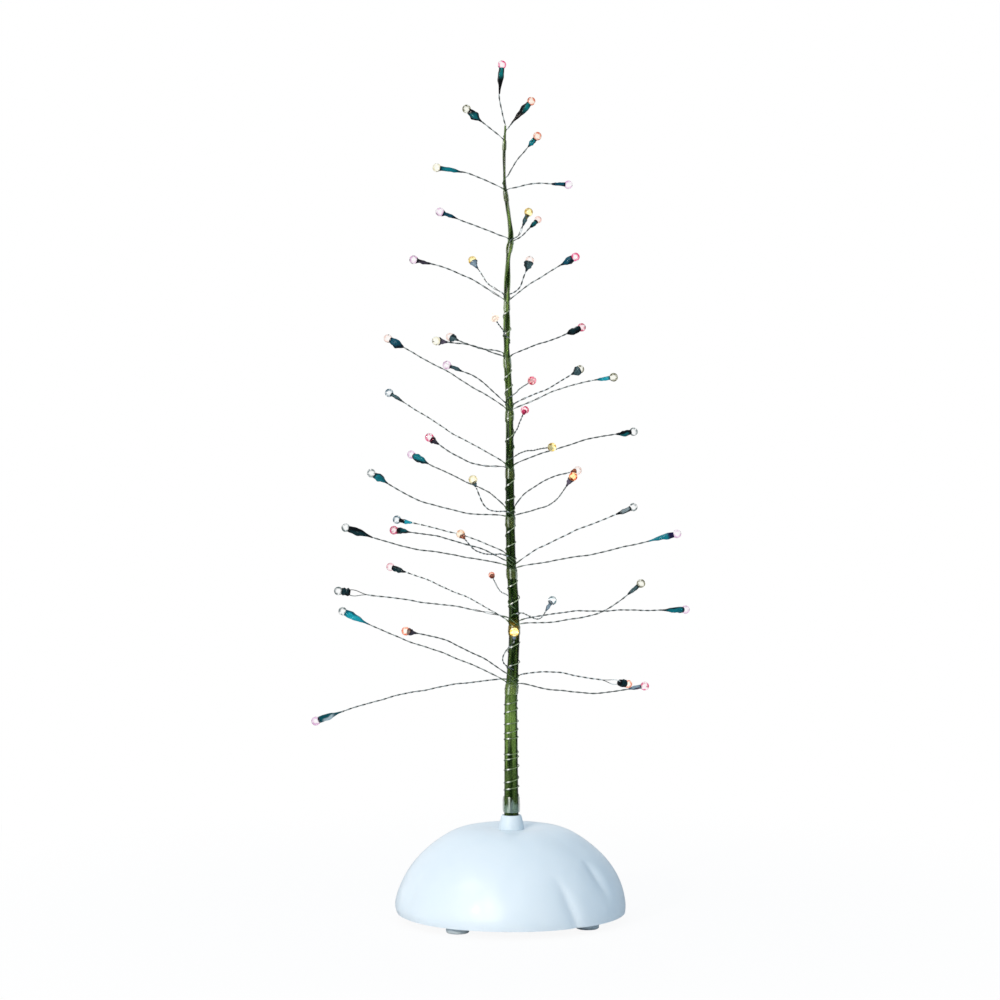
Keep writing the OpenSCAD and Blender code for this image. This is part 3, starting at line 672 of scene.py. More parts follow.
CONTACT = Metal("contact_steel", (0.74, 0.74, 0.72), (0.55, 0.54, 0.51), turn=10.0)
BRASS = Metal("terminal_brass", (0.72, 0.52, 0.22), (0.52, 0.36, 0.15))
CORE = Metal("support_steel", (0.45, 0.46, 0.46), (0.3, 0.3, 0.3), grain=(1500.0, 1500.0, 90.0))
CELL = CellJacket("cell_jacket", (0.05, 0.09, 0.12), (0.08, 0.12, 0.15), (0.7, 0.7, 0.68), turn=10.0)
GLUE = HotMelt("hot_melt", (0.78, 0.74, 0.62), (0.66, 0.58, 0.42))
BUNDLE = Lacquer("bundle_lacquer", (0.008, 0.022, 0.002), 300.0, (0.1, 0.2), shine=0.14)
BINDING = Lacquer("binding_lacquer", (0.34, 0.46, 0.24), 1400.0, (0.16, 0.26), shine=0.5, metal=0.15)
PAIR = Lacquer("branch_wire", (0.03, 0.04, 0.035), 1100.0)
SLEEVE = Lacquer("shrink_sleeve", (0.002, 0.004, 0.006), 1100.0, (0.1, 0.28), depth=0.10 * MM, shine=0.2)
GREEN_FILM = Film("green_film", (0.12, 0.20, 0.05), (0.35, 0.60), (0.12, 0.24), 1.3)
CLEAR_FILM = Film("clear_film", (0.28, 0.34, 0.14), (0.30, 0.58), (0.10, 0.20), 1.45)
GLASS = {tint: LampGlass(f"{tint}_glass") for tint in ("clear", "pink", "red", "amber", "peach", "blue")}

PLAIN_NODES: dict[str, Finish] = {
    "cover_plate": COVER, "battery_door": COVER, "cover_screws": SCREW, "battery_cells": CELL,
    "contact_plates": CONTACT, "link_plates": CONTACT, "switch_can": CONTACT, "switch_slider": SWITCH,
    "switch_terminals": BRASS, "positive_lead": RED_LEAD, "switched_lead": RED_LEAD,
    "negative_lead": BLACK_LEAD, "splice_caps": SPLICE, "glue_plug": GLUE, "support_wire": CORE,
}


def dress(piece: bpy.types.Object, finish: Finish) -> None:
    """Gives a piece or CAD node one finish in every material slot.

    Args:
        piece: What to dress.
        finish: Its finish.
    """
    if not piece.material_slots:
        piece.data.materials.append(finish.material())
    for slot in piece.material_slots:
        slot.material = finish.material()


def settle(piece: bpy.types.Object, finish: Finish, node: str) -> None:
    """Dresses a new piece of the tree, puts it in the place of a CAD node and reports it.

    Args:
        piece: The new piece.
        finish: Its finish, named as the record's slot.
        node: CAD node that it stands for.
    """
    dress(piece, finish)
    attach(piece, "tree")
    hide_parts(node)
    LOG.info("%s: %d faces", piece.name, len(piece.data.polygons))


@dataclass(frozen=True)
class Fold:
    """A drift fold on the mound, in degrees: its heading at its low and at its high row, and its widths.

    The first width is on its clockwise side.
    """

    headings: Span
    widths: Span
    rows: Span
    share: float

    def depth(self, heading: Array, row: Array) -> Array:
        """Depth of the fold: share * exp(-|turn / width|^1.4) * sin^1.6 along its rows.

        Turn is measured from a line that leans from the low row's heading to the high row's.

        Args:
            heading: Headings in degrees.
            row: Rows in degrees.

        Returns:
            Shares of the mound's fold depth.
        """
        along = np.clip((row - self.rows[0]) / (self.rows[1] - self.rows[0]), 0, 1)
        line = self.headings[0] + (self.headings[1] - self.headings[0]) * along
        turn = (heading - line + 540) % 360 - 180
        width = np.where(turn < 0, *self.widths)
        return self.share * np.exp(-np.abs(turn / width) ** 1.4) * np.sin(math.pi * along) ** 1.6


@dataclass
class SnowMound:
    """Base: the folded mound, the collar at the trunk's foot and the four feet."""

    radius: float = 40.2 * MM
    height: float = 31.2 * MM
    lift: float = 0.3 * MM
    fullness: float = 2.1
    wall: float = 2.0 * MM
    fold_depth: float = 1.3 * MM
    rim_turn: float = 0.25 * MM
    rim_rows: float = 6.0
    left_turn: float = 0.7 * MM
    belly: float = 0.9 * MM
    belly_rows: float = 16.0
    shelf: float = 0.7 * MM
    shelf_r: float = 20.0 * MM
    shelf_w: float = 7.0 * MM
    dish: float = 2.7 * MM
    dish_r: float = 9.0 * MM
    hole_r: float = 3.3 * MM
    seat_r: float = 4.4 * MM
    seat_up: float = 3.3 * MM
    foot_h: float = 3.0 * MM
    columns: int = 256
    rows: int = 100
    inner_rows: int = 40
    folds: tuple[Fold, ...] = (
        Fold((-51.5, -64.7), (4.5, 2.5), (-14, 36), 1.15), Fold((-30, -36.5), (6, 4), (9, 46), 1.25),
        Fold((-30, -48), (14, 12), (28, 80), 0.5), Fold((-101, -104), (6, 10), (-4, 26), 0.25),
        Fold((-150, -146), (12, 12), (4, 60), 0.2), Fold((28, 26), (9, 11), (0, 56), 0.8),
        Fold((62, 56), (9, 12), (6, 70), 1.0), Fold((98, 104), (8, 6), (-8, 44), 0.8),
        Fold((134, 128), (13, 13), (12, 74), 0.9), Fold((206, 212), (9, 7), (-6, 40), 0.6))

    def row_at(self, across: float, radius: float) -> float:
        """Row in degrees at which the skin of a radius has come in to a distance from the axis."""
        return math.degrees(math.acos((across / radius) ** (self.fullness / 2)))

    def skin(self, radius: float, height: float, foot: float, row: Array) -> Array:
        """Grid of the mound's skin.

        Across = radius * cos(row)^(2 / fullness) - the deepest fold - the turn of the rim + a low belly on
        the left, and up = foot + height * sin(row)^(2 / fullness) + a shelf round the crown - the collar's
        dish.

        Args:
            radius: Radius at the rim.
            height: Height from the rim to the crown.
            foot: Height of the rim.
            row: Angles in degrees, 0 at the rim and 90 at the crown.

        Returns:
            Grid of points, rows by headings.
        """
        heading = np.linspace(0, 360, self.columns, endpoint=False)[None, :]
        row = row[:, None]
        cosine, sine = np.cos(np.radians(row)), np.sin(np.radians(row))
        folded = self.fold_depth * np.max([fold.depth(heading, row) for fold in self.folds], axis=0)
        leftward = (0.5 - 0.5 * np.cos(np.radians(heading + 8))) ** 2
        turned = (self.rim_turn + self.left_turn * leftward) * np.clip(1 - row / self.rim_rows, 0, 1) ** 2
        belly = self.belly * leftward * bell(row, 0.0, self.belly_rows)
        across = radius * cosine ** (2 / self.fullness) - folded - turned + belly
        shelf = self.shelf * bell(across, self.shelf_r, self.shelf_w)
        dished = self.dish * bell(across, 0.0, self.dish_r)
        up = foot + height * sine ** (2 / self.fullness) + shelf - dished
        bearing = np.radians(heading)
        return np.stack([across * np.cos(bearing), across * np.sin(bearing), up], axis=-1)

    def build_mound(self) -> None:
        """The mound as one closed wall: up its skin, over the collar's seat and down its inside."""
        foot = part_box("base_shell")[0].z + self.lift
        seat_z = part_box("trunk_collar")[0].z + self.seat_up
        inner_r, inner_h = self.radius - self.wall, self.height - self.wall
        rise = self.row_at(self.seat_r, self.radius) * np.linspace(0, 1, self.rows) ** 1.15
        outer = self.skin(self.radius, self.height, foot, rise)
        fall = np.linspace(self.row_at(self.hole_r, inner_r), 0, self.inner_rows)
        inner = self.skin(inner_r, inner_h, foot, fall)
        seat = lathe(np.array([[self.seat_r, seat_z], [self.hole_r, seat_z]]), self.columns, np.zeros(3))
        whole = Surface()
        whole.add(np.concatenate([outer, seat, inner]), looped=True)
        settle(whole.build("snow_mound", 40.0), SNOW, "base_shell")

    def build_collar(self) -> None:
        """The collar turned from one closed profile: spigot, flared foot, rounded top and bore."""
        low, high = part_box("trunk_collar")
        top = (high.z - low.z) / MM - 0.9
        foot = top - 5.3
        outside = rounded([(4.36, foot), (4.36, foot + 0.9), (4.27, foot + 1.7), (4.08, foot + 2.7),
                           (3.86, foot + 3.7), (3.66, foot + 4.5), (3.44, top - 0.22), (3.1, top),
                           (2.78, top - 0.12)], 0.15)
        spigot = np.array([[3.2, 0.0], [3.2, foot], [4.34, foot]]) * MM
        bore = np.array([[2.75, top - 0.4], [2.75, 0.0]]) * MM
        whole = Surface()
        whole.add(lathe(np.concatenate([spigot, outside, bore]), 64, low.z * UP), looped=True)
        settle(whole.build("foot_collar", 40.0), COLLAR, "trunk_collar")

    def build_feet(self) -> None:
        """Four feet turned from a rounded profile with a shallow dish below."""
        profile = rounded([(0.3, 0.35), (1.8, 0.3), (2.9, 0.06), (3.4, 0.0), (3.85, 0.25), (4.0, 0.8),
                           (4.0, 2.2), (3.98, 2.95), (3.6, 3.0), (0.3, 3.0)], 0.12)
        profile[:, 1] = np.clip(profile[:, 1], 0.0, self.foot_h)
        whole = Surface()
        for points in solids("rubber_feet"):
            spot = (points.min(axis=0) + points.max(axis=0)) / 2
            whole.add(lathe(profile, 48, np.array([spot[0], spot[1], 0.0])))
        settle(whole.build("soft_feet", 60.0), RUBBER, "rubber_feet")

    def build(self) -> None:
        """Makes the base's pieces."""
        self.build_mound()
        self.build_collar()
        self.build_feet()


@dataclass
class Underside:
    """Cover, cells, switch and wiring: finishes on CAD nodes, the wound springs and the gathered tails."""

    wire_r: float = 0.25 * MM
    curls: int = 3
    curl_rows: int = 48
    foot_r: float = 3.4 * MM
    tip_r: float = 1.9 * MM
    turn: float = math.radians(10)
    tail_strands: int = 4
    tail_turns: int = 2
    tail_r: float = 0.2 * MM
    tail_apart: float = 0.26 * MM
    tail_tone: Colour = (0.03, 0.06, 0.02)

    def build_springs(self) -> None:
        """Coiled springs: radius falls evenly from foot to tip while the coil climbs.

        Point = middle + r (cos a up + sin a across) + climb along the cell.
        """
        along = np.array([math.cos(self.turn), math.sin(self.turn), 0.0])
        across = np.array([-along[1], along[0], 0.0])
        share = np.linspace(0, 1, self.curl_rows * self.curls + 1)[:, None]
        angle = TAU * self.curls * share
        radius = self.foot_r + (self.tip_r - self.foot_r) * share
        whole = Surface()
        for points in solids("contact_springs"):
            places, sideways = points @ along, points @ across
            middle_z = (points[:, 2].min() + points[:, 2].max()) / 2
            middle_y = (sideways.min() + sideways.max()) / 2
            near, far = places.min() + self.wire_r, places.max() - self.wire_r
            foot, tip = (near, far) if (near + far) < 0 else (far, near)
            hand = 1.0 if foot < tip else -1.0
            path = ((foot + (tip - foot) * share) * along + (middle_z + radius * np.cos(angle)) * UP
                    + (middle_y + hand * radius * np.sin(angle)) * across)
            whole.add(tube(path, self.wire_r, 10, along))
        settle(whole.build("coiled_springs"), CONTACT, "contact_springs")

    def build_tails(self) -> None:
        """Tails of the trunk's wires: each CAD tail's middle line as strands laid round one another."""
        square_to = np.array([0.8, -0.55, 0.1])
        whole = Surface()
        for points in solids("lamp_tails"):
            order = points[np.argsort(-points[:, 2])]
            line = through(order[: len(order) // 6 * 6].reshape(-1, 6, 3).mean(axis=1), 0.3 * MM)
            share = np.linspace(0, 1, len(line))[:, None]
            _, across, upright = side_frame(line, square_to)
            for k in range(self.tail_strands):
                angle = TAU * (k / self.tail_strands + self.tail_turns * share)
                path = line + self.tail_apart * (np.cos(angle) * across + np.sin(angle) * upright)
                whole.add(tube(path, self.tail_r, 6, square_to), tone=self.tail_tone)
        settle(whole.build("gathered_tails"), BUNDLE, "lamp_tails")

    def build(self) -> None:
        """Dresses the CAD nodes and makes the wound pieces."""
        for node, finish in PLAIN_NODES.items():
            dress(cad_node(node), finish)
            LOG.info("%s: finish %s", node, finish.name)
        self.build_springs()
        self.build_tails()


@dataclass
class Trunk:
    """Bound trunk: strands under film, binding wire, clear bands and the foot tube.

    The tables give a height in millimetres and a share: how pale the trunk is, how wide its pale streaks
    are, and how strong the film's painted highlight streaks are.
    """

    strands: int = 26
    strand_r: float = 0.27 * MM
    strand_gap: float = 0.05 * MM
    golden_turn: float = 2.39996
    core_r: float = 0.06 * MM
    film_t: float = 0.15 * MM
    row_step: float = 1.2 * MM
    soften: float = 5.0 * MM
    swell: float = 0.18 * MM
    swell_end: Span = (78 * MM, 92 * MM)
    thinning: float = 0.16 * MM
    thin_start: Span = (246 * MM, 254 * MM)
    lobes: float = 0.16
    lobe_rate: float = 420.0
    lobe_start: Span = (186 * MM, 206 * MM)
    binding_r: float = 0.2 * MM
    binding_pitch: float = 5.6 * MM
    binding_run: Span = (-3.6 * MM, 8.4 * MM)
    bare_span: Span = (107.2 * MM, 119.2 * MM)
    # Reach of the painted lamp glow along the trunk.
    painted_glow_reach: float = 2.7 * MM
    # Width of the painted highlight streaks round the turn, in radians.
    painted_highlight_w: float = 0.12
    columns: int = 48
    deep: Colour = (0.004, 0.020, 0.001)
    pale: Colour = (0.21, 0.34, 0.075)
    # Paleness by height; its fall from 71 to 81 mm, just under the lowest tier, is painted shade.
    paleness: tuple[Span, ...] = (
        (40, 0.3), (52, 0.5), (58, 1.0), (71, 1.2), (76, 0.85), (81, 0.65), (87, 0.35), (93, 0.3), (97, 0.1),
        (112, 0.12), (117, 0.3), (122, 0.12), (160, 0.12), (172, 0.6), (182, 0.85), (196, 0.65), (210, 0.95),
        (246, 0.9), (253, 0.2), (265, 0.2), (270, 0.8), (278, 0.7))
    streaking: tuple[Span, ...] = (
        (40, 0.4), (50, 0.75), (56, 0.15), (65, 0.5), (72, 0.95), (83, 0.8), (88, 0.0))
    # Strength of the painted highlight streaks by height.
    painted_highlights: tuple[Span, ...] = (
        (40, 0.0), (60, 0.1), (72, 0.2), (82, 0.35), (86, 0.1), (160, 0.05), (170, 0.3), (200, 0.3),
        (215, 0.12), (278, 0.1))

    def __post_init__(self) -> None:
        """Reads the axis and the radius by height from the film's rings, and the lamp before the trunk."""
        points, _ = merged("trunk_film")
        self.levels = np.unique(np.round(points[:, 2], 5))
        rings = [points[np.abs(points[:, 2] - z) < 2e-5] for z in self.levels]
        self.middles = np.array([(ring.min(axis=0) + ring.max(axis=0)) / 2 for ring in rings])
        self.radii = np.array([np.ptp(ring[:, 0]) / 2 for ring in rings])
        lamps = [lamp.mean(axis=0) for lamp in solids("amber_bulbs")]
        self.glow_z = min(lamps, key=lambda spot: abs(spot[0]))[2]
        self.turns = np.linspace(0, TAU, self.columns, endpoint=False)

    def axis(self, z: Array) -> Array:
        """Points of the trunk's axis, its bends softened by a mean over some millimetres, weighted by cos^2.

        Args:
            z: Heights.

        Returns:
            Points, in the shape of the heights.
        """
        spread = np.linspace(-self.soften, self.soften, 9)
        weight = np.cos(spread / self.soften * math.pi / 2) ** 2 + 0.01
        near = z[..., None] + spread
        x = (np.interp(near, self.levels, self.middles[:, 0]) * weight).sum(axis=-1) / weight.sum()
        return np.stack([x, np.zeros_like(x), z], axis=-1)

    def radius(self, z: Array) -> Array:
        """Outer radius of the film at heights: thicker under the lowest tier and thinner at the top."""
        swollen = self.swell * (1 - ease(*self.swell_end, z))
        return np.interp(z, self.levels, self.radii) + swollen - self.thinning * ease(*self.thin_start, z)

    def heights(self, low: float, high: float) -> Array:
        """Even heights between two."""
        return np.linspace(low, high, max(3, int((high - low) / self.row_step)))

    def twist(self, z: Array, angle: Array) -> tuple[Array, Array]:
        """How far the trunk is twisted at a height, and the wave of its two lobes, sin(2 a - k z)."""
        return ease(*self.lobe_start, z), np.sin(2 * angle - self.lobe_rate * z + 1.0)

    def round_trunk(self, z: Array, angle: Array, out: Array | float) -> Array:
        """Points beside the trunk: axis + (film radius * (1 + lobes) + out) * (cos a, sin a, 0).

        Args:
            z: Heights.
            angle: Angles round the trunk.
            out: Distance from the film's radius, one or by point.

        Returns:
            Points, in the shape of the heights.
        """
        upper, wave = self.twist(z, angle)
        reach = self.radius(z) * (1 + self.lobes * upper * wave) + out
        return self.axis(z) + np.stack([reach * np.cos(angle), reach * np.sin(angle), 0 * z], axis=-1)

    def both_skins(self, rows: Array) -> Array:
        """Values of a wall's outer skin from the bottom up, and again of its inner one from the top down."""
        return np.concatenate([rows, rows[::-1]])

    def wall(self, z: Array, inside: float, outside: Array | float, ripple: float, seed: int) -> Array:
        """A closed film wall round the trunk.

        The outer skin stands out by the given distance plus a ripple of three slow waves round and along;
        the inner skin follows at its own distance, and the last row joins the first.

        Args:
            z: Heights from the bottom up.
            inside: Distance of the inner skin from the film's radius.
            outside: Distance of the outer skin, one or by height.
            ripple: Size of the waves.
            seed: Sets the waves' phases.

        Returns:
            Grid of points that loops over its rows.
        """
        phase = np.random.default_rng(seed).uniform(0, TAU, 3)
        height, angle = np.meshgrid(z, self.turns, indexing="ij")
        wave = (np.sin(2 * angle + 900 * height + phase[0]) + np.sin(3 * angle - 1700 * height + phase[1])
                + np.sin(5 * angle + 2600 * height + phase[2])) / 3
        out = np.broadcast_to(outside, len(z))[:, None] + ripple * wave
        inner = self.round_trunk(height, angle, inside)
        return np.concatenate([self.round_trunk(height, angle, out), inner[::-1]])

    def painted_glow(self, z: Array) -> Array:
        """Painted glow on a wall from the lamp before the trunk: exp(-((z - lamp) / reach)^4) * sqrt(-sin
        a).
        """
        rows = np.exp(-((z - self.glow_z) / self.painted_glow_reach) ** 4)
        return self.both_skins(rows)[:, None] * np.clip(-np.sin(self.turns), 0, 1)[None, :] ** 0.5

    def crease_and_highlight(self, z: Array, share: Array | float, whole: float, seed: int) -> Array:
        """Painted highlight streaks on a wall's points, for the rows of a wall.

        Four lines run along the trunk, the first on the side where the key lamp's highlight falls; each is a
        bell over the turn, broken along its height by a slow wave.

        Args:
            z: Heights from the bottom up.
            share: Strength of the painted streaks, one or by height.
            whole: How far the lines go without a break.
            seed: Moves the lines a little and sets their breaks.

        Returns:
            Values between 0 and 1, rows by columns.
        """
        rng = np.random.default_rng(seed)
        lines = math.radians(-113) + np.array([0.0, 1.45, 2.9, 4.4]) + rng.uniform(-0.1, 0.1, 4)
        wander = 0.1 * np.sin(240 * z[:, None] + rng.uniform(0, TAU, 4))
        turn = wrapped(self.turns[None, None, :] - (lines + wander)[:, :, None])
        broken = ease(-0.9, 0.4, whole + np.sin(520 * z[:, None] + rng.uniform(0, TAU, 4)))
        line = (bell(turn, 0.0, self.painted_highlight_w) * broken[:, :, None]).max(axis=1)
        return self.both_skins(np.broadcast_to(share, len(z))[:, None] * line)

    def frost(self, share: Array) -> Array:
        """Frost on a wall: 1 at its foot and 0 past an edge that two waves round the trunk make ragged."""
        edge = 0.56 + 0.16 * np.sin(4 * self.turns + 0.7) + 0.10 * np.sin(9 * self.turns + 2.0)
        return self.both_skins(1 - ease(-0.12, 0.12, share[:, None] - edge[None, :]))[..., None]

    def film_tone(self, z: Array) -> Array:
        """Tones of a wall's points, for the rows of a wall."""
        return self.both_skins(self.tone(self.turns[None, :], z[:, None]))

    def tone(self, angle: Array, z: Array) -> Array:
        """Colour of a strand by its place: streaks of three slow waves round the trunk, and high up painted
        shade in the grooves between the twisted lobes.

        Args:
            angle: Angle round the trunk.
            z: Height.

        Returns:
            Rows of colours between a deep and a pale green.
        """
        streak = (np.sin(5 * angle - 0.37 + 14 * z) + 0.4 * np.sin(9 * angle - 0.6 - 23 * z)
                  + 0.4 * np.sin(3 * angle + 2.2 + 61 * z))
        even = 0.3 * ease(165 * MM, 190 * MM, z)
        streaked = ease(-0.2, 0.6, streak + by_height(self.streaking, z))
        share = (even + (1 - even) * streaked) * by_height(self.paleness, z)
        upper, wave = self.twist(z, angle)
        # Painted shade: high up, darker where the lobes' wave draws the trunk in.
        share = share * (1 + 0.5 * upper) * (1 - 0.95 * upper * ease(-0.5, 0.4, -wave))
        return mix(self.deep, self.pale, share)

    def build_strands(self) -> None:
        """Strands of lamp wire on a dark core.

        Strand k lies at k golden angles plus a slow twist and its own waver. It keeps to the outer layer
        while the trunk has room for it, then sinks into the core.
        """
        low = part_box("wire_bundle")[0].z
        high = self.levels[-1]
        whole = Surface()
        z = self.heights(low, high)
        height, turn = np.meshgrid(z, np.linspace(0, TAU, 16, endpoint=False), indexing="ij")
        sunk = np.maximum(-self.film_t - 1.6 * self.strand_r, self.core_r - self.radius(z))
        whole.add(self.round_trunk(height, turn, sunk[:, None]), tone=(0.006, 0.014, 0.002))
        rng = np.random.default_rng(11)
        room = TAU * (self.radius(z) - self.film_t - self.strand_r) / (2.15 * self.strand_r)
        for k in range(self.strands):
            stop = high - 0.4 * MM if room[-1] > k else float(np.interp(-k - 1, -room, z))
            if stop < low + 10 * MM:
                continue
            path_z = self.heights(low, stop)
            sink = 0.5 * MM * ease(stop - 6 * MM, stop, path_z) if stop < high - MM else 0 * path_z
            phase = rng.uniform(0, TAU, 2)
            angle = (k * self.golden_turn + 9 * (path_z - low) + 0.10 * np.sin(260 * path_z + phase[0])
                     + 0.05 * np.sin(700 * path_z + phase[1]))
            path = self.round_trunk(path_z, angle, -self.film_t - self.strand_r - self.strand_gap - sink)
            grid = tube(path, self.strand_r, 6, np.array([0.03, 1.0, 0.02]))
            whole.add(grid, tone=self.tone(angle, path_z)[:, None])
        settle(whole.build("trunk_strands"), BUNDLE, "wire_bundle")

    def build_film(self) -> None:
        """Green film round the strands, rippled, over the whole bound height."""
        z = self.heights(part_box("trunk_film")[0].z, self.levels[-1])
        whole = Surface()
        # The film's points carry the painted lamp glow and the painted highlight streaks.
        whole.add(self.wall(z, -self.film_t, 0.0, 0.035 * MM, 3), looped=True, painted_glow=self.painted_glow(z),
                  tone=self.film_tone(z), crease_and_highlight=self.crease_and_highlight(z, by_height(self.painted_highlights, z), 0.0, 8))
        settle(whole.build("wrapped_film"), GREEN_FILM, "trunk_film")

    def build_bands(self) -> None:
        """Clear bands under the tiers and the clear tube at the foot, bellied and with drawn-in ends."""
        pieces = (("tier_bands", "shrunk_bands", 21, 0.2, (0.09, 0.10, 0.03)),
                  ("foot_tube", "foot_shrink", 5, 0.45, (0.27, 0.36, 0.35)))
        for node, name, seed, out, haze in pieces:
            whole = Surface()
            for k, points in enumerate(solids(node)):
                low, high = points[:, 2].min(), points[:, 2].max()
                z = np.linspace(low, high, 24)
                share = (z - low) / (high - low)
                drawn = 1 - ease(0, 0.5 * MM, np.minimum(z - low, high - z))
                belly = (out + 0.08 * np.sin(math.pi * share) - 0.12 * drawn) * MM
                frost = 1.0 if node == "tier_bands" else self.frost(share)
                # Each band carries the painted lamp glow and painted highlight streaks.
                whole.add(self.wall(z, 0.05 * MM, belly, 0.04 * MM, seed + k), looped=True,
                          painted_glow=self.painted_glow(z), tone=self.film_tone(z) + frost * np.array(haze),
                          crease_and_highlight=self.crease_and_highlight(z, 1.0, 0.9, seed + 50 + k))
            settle(whole.build(name), CLEAR_FILM, node)

    def build_binding(self) -> None:
        """Binding wire: a helix in each stretch, standing loose on the trunk's right side.

        Each CAD length above the foot's goes on for a second turn, and one more stretch binds the tier that
        they leave bare. Angle = 360 degrees for each pitch plus a slow waver; distance = half the wire's
        radius + a bulge that grows with the fourth power of the angle's cosine. Where a turn faces the key
        lamp it is thicker and carries a painted white glint.
        """
        whole = Surface()
        spans = sorted((points[:, 2].min() + self.binding_r, points[:, 2].max() - self.binding_r)
                       for points in solids("binding_wire"))
        below, above = self.binding_run
        spans = [spans[0], *((low + below, low + above) for low, _ in spans[1:]), self.bare_span]
        for k, (low, high) in enumerate(spans):
            close, slack, pale = (1.6, 1.9, (0.27, 0.36, 0.17)) if k == 0 else (1.0, 0.5, (0.46, 0.56, 0.34))
            turns = round(close * (high - low) / self.binding_pitch)
            share = np.linspace(0, 1, int(turns * 56))
            run, fade = turns * share, np.sin(math.pi * share)
            phase = np.random.default_rng(40 + k).uniform(0, TAU, 3)
            angle = TAU * run + slack * np.sin(2.1 * run + phase[0]) * fade
            loose = np.clip(np.cos(angle), 0, 1) ** 4 * (0.12 + 0.12 * np.sin(2.9 * run + phase[1]))
            z = low + (high - low) * share + 0.6 * MM * np.sin(3.7 * run + phase[2]) * fade
            path = self.round_trunk(z, angle, 0.5 * self.binding_r + loose * MM * fade ** 0.3)
            right = bell(wrapped(angle + 0.9), 0.0, math.sqrt(0.5))
            # Painted glint: white painted where the turn faces the key lamp.
            painted_glint = bell(wrapped(angle + 1.97), 0.0, 0.22)
            tone = mix((0.05, 0.09, 0.03), pale, right[:, None])
            grid = tube(path, self.binding_r * (0.8 + 0.6 * painted_glint), 8, np.array([0.02, 0.01, 1.0]))
            whole.add(grid, tone=mix(tone, (1.0, 1.0, 0.92), painted_glint[:, None]))
        settle(whole.build("wound_binding"), BINDING, "binding_wire")

    def build(self) -> None:
        """Makes the trunk's pieces from the core out."""
        self.build_strands()
        self.build_film()
        self.build_binding()
        self.build_bands()


class Cut(Enum):
    """How a sleeve was cut and shrunk: length and girth in millimetres, and its outline.

    The outline gives shares of the half girth from the wire's end to the bulb's end.
    """

    LONG = (8.8, 2.5, (0.20, 0.36, 0.68, 0.94, 1.00, 0.82))
    DART = (6.6, 2.8, (0.18, 0.42, 0.78, 1.00, 0.94, 0.72))
    LEAF = (5.6, 2.9, (0.18, 0.34, 0.82, 1.00, 0.94, 0.70))
    LUMP = (5.4, 2.7, (0.20, 0.60, 0.96, 1.00, 0.92, 0.78))
    SPINDLE = (5.6, 2.0, (0.24, 0.50, 0.84, 1.00, 0.94, 0.80))
    LANCE = (7.6, 1.9, (0.24, 0.50, 0.84, 1.00, 0.86, 1.10))
    FLARED = (4.8, 1.6, (0.36, 0.62, 0.84, 0.90, 0.80, 1.55))
    BUD = (3.6, 1.8, (0.26, 0.60, 0.92, 1.00, 0.92, 0.80))
    DROP = (4.6, 2.5, (0.18, 0.42, 0.70, 0.90, 1.00, 0.94))
    SLIM = (4.6, 1.4, (0.46, 0.72, 0.94, 1.00, 0.96, 1.10))
    CONE = (3.2, 2.5, (0.24, 0.38, 0.56, 0.76, 0.92, 1.00))
    FIN = (2.7, 2.7, (0.26, 0.34, 0.48, 0.68, 0.92, 1.16))
    CUP = (3.2, 3.0, (0.22, 0.32, 0.54, 0.84, 1.02, 1.10))
    STUB = (1.8, 1.7, (0.40, 0.58, 0.76, 0.90, 0.98, 1.02))
    BLOCK = (2.9, 2.9, (0.66, 0.98, 1.00, 0.96, 1.00, 0.86))


class Tone(Enum):
    """Colours of a sleeve: its ground, the panel that shows, the panel's share of the turn and its ends. The
    panel is partly the sleeve's own second colour and partly painted sheen.

    The ends are shares of the sleeve's length from the wire's end to the bulb's end.
    """

    TEAL = ((0.002, 0.020, 0.028), (0.003, 0.170, 0.205), 0.60, 0.1, 0.97)
    DUSK = ((0.002, 0.005, 0.007), (0.003, 0.120, 0.135), 0.20, 0.1, 0.90)
    JET = ((0.002, 0.003, 0.004), (0.003, 0.190, 0.190), 0.10, 0.5, 1.10)
    NIGHT = ((0.002, 0.004, 0.006), (0.004, 0.026, 0.032), 0.40, 0.1, 0.97)
    NAVY = ((0.002, 0.009, 0.018), (0.004, 0.070, 0.110), 0.50, 0.1, 0.97)
    AQUA = ((0.001, 0.110, 0.150), (0.010, 0.320, 0.390), 0.55, 0.1, 0.97)
    CAP = ((0.002, 0.006, 0.009), (0.012, 0.300, 0.380), 1.20, -0.5, 0.62)
    PLUM = ((0.014, 0.008, 0.050), (0.003, 0.190, 0.240), 0.95, -0.5, 0.86)
    FROST = ((0.001, 0.075, 0.092), (0.500, 0.600, 0.620), 0.26, 0.25, 0.95)
    SLATE = ((0.014, 0.030, 0.034), (0.060, 0.115, 0.125), 0.45, 0.1, 0.97)
    SILVER = ((0.004, 0.007, 0.009), (0.260, 0.320, 0.330), 0.36, 0.2, 0.97)
    ASH = ((0.008, 0.008, 0.012), (0.048, 0.040, 0.058), 0.45, 0.1, 0.97)
    MAUVE = ((0.030, 0.026, 0.040), (0.130, 0.105, 0.145), 0.50, 0.1, 0.97)
    MIST = ((0.060, 0.095, 0.130), (0.220, 0.300, 0.360), 0.50, 0.1, 0.97)
    RUST = ((0.160, 0.030, 0.015), (0.380, 0.120, 0.060), 0.50, 0.1, 0.97)
    CHERRY = ((0.420, 0.012, 0.060), (0.720, 0.050, 0.150), 0.50, 0.1, 0.97)
    SHELL = ((0.550, 0.450, 0.400), (0.800, 0.680, 0.620), 0.50, 0.1, 0.97)


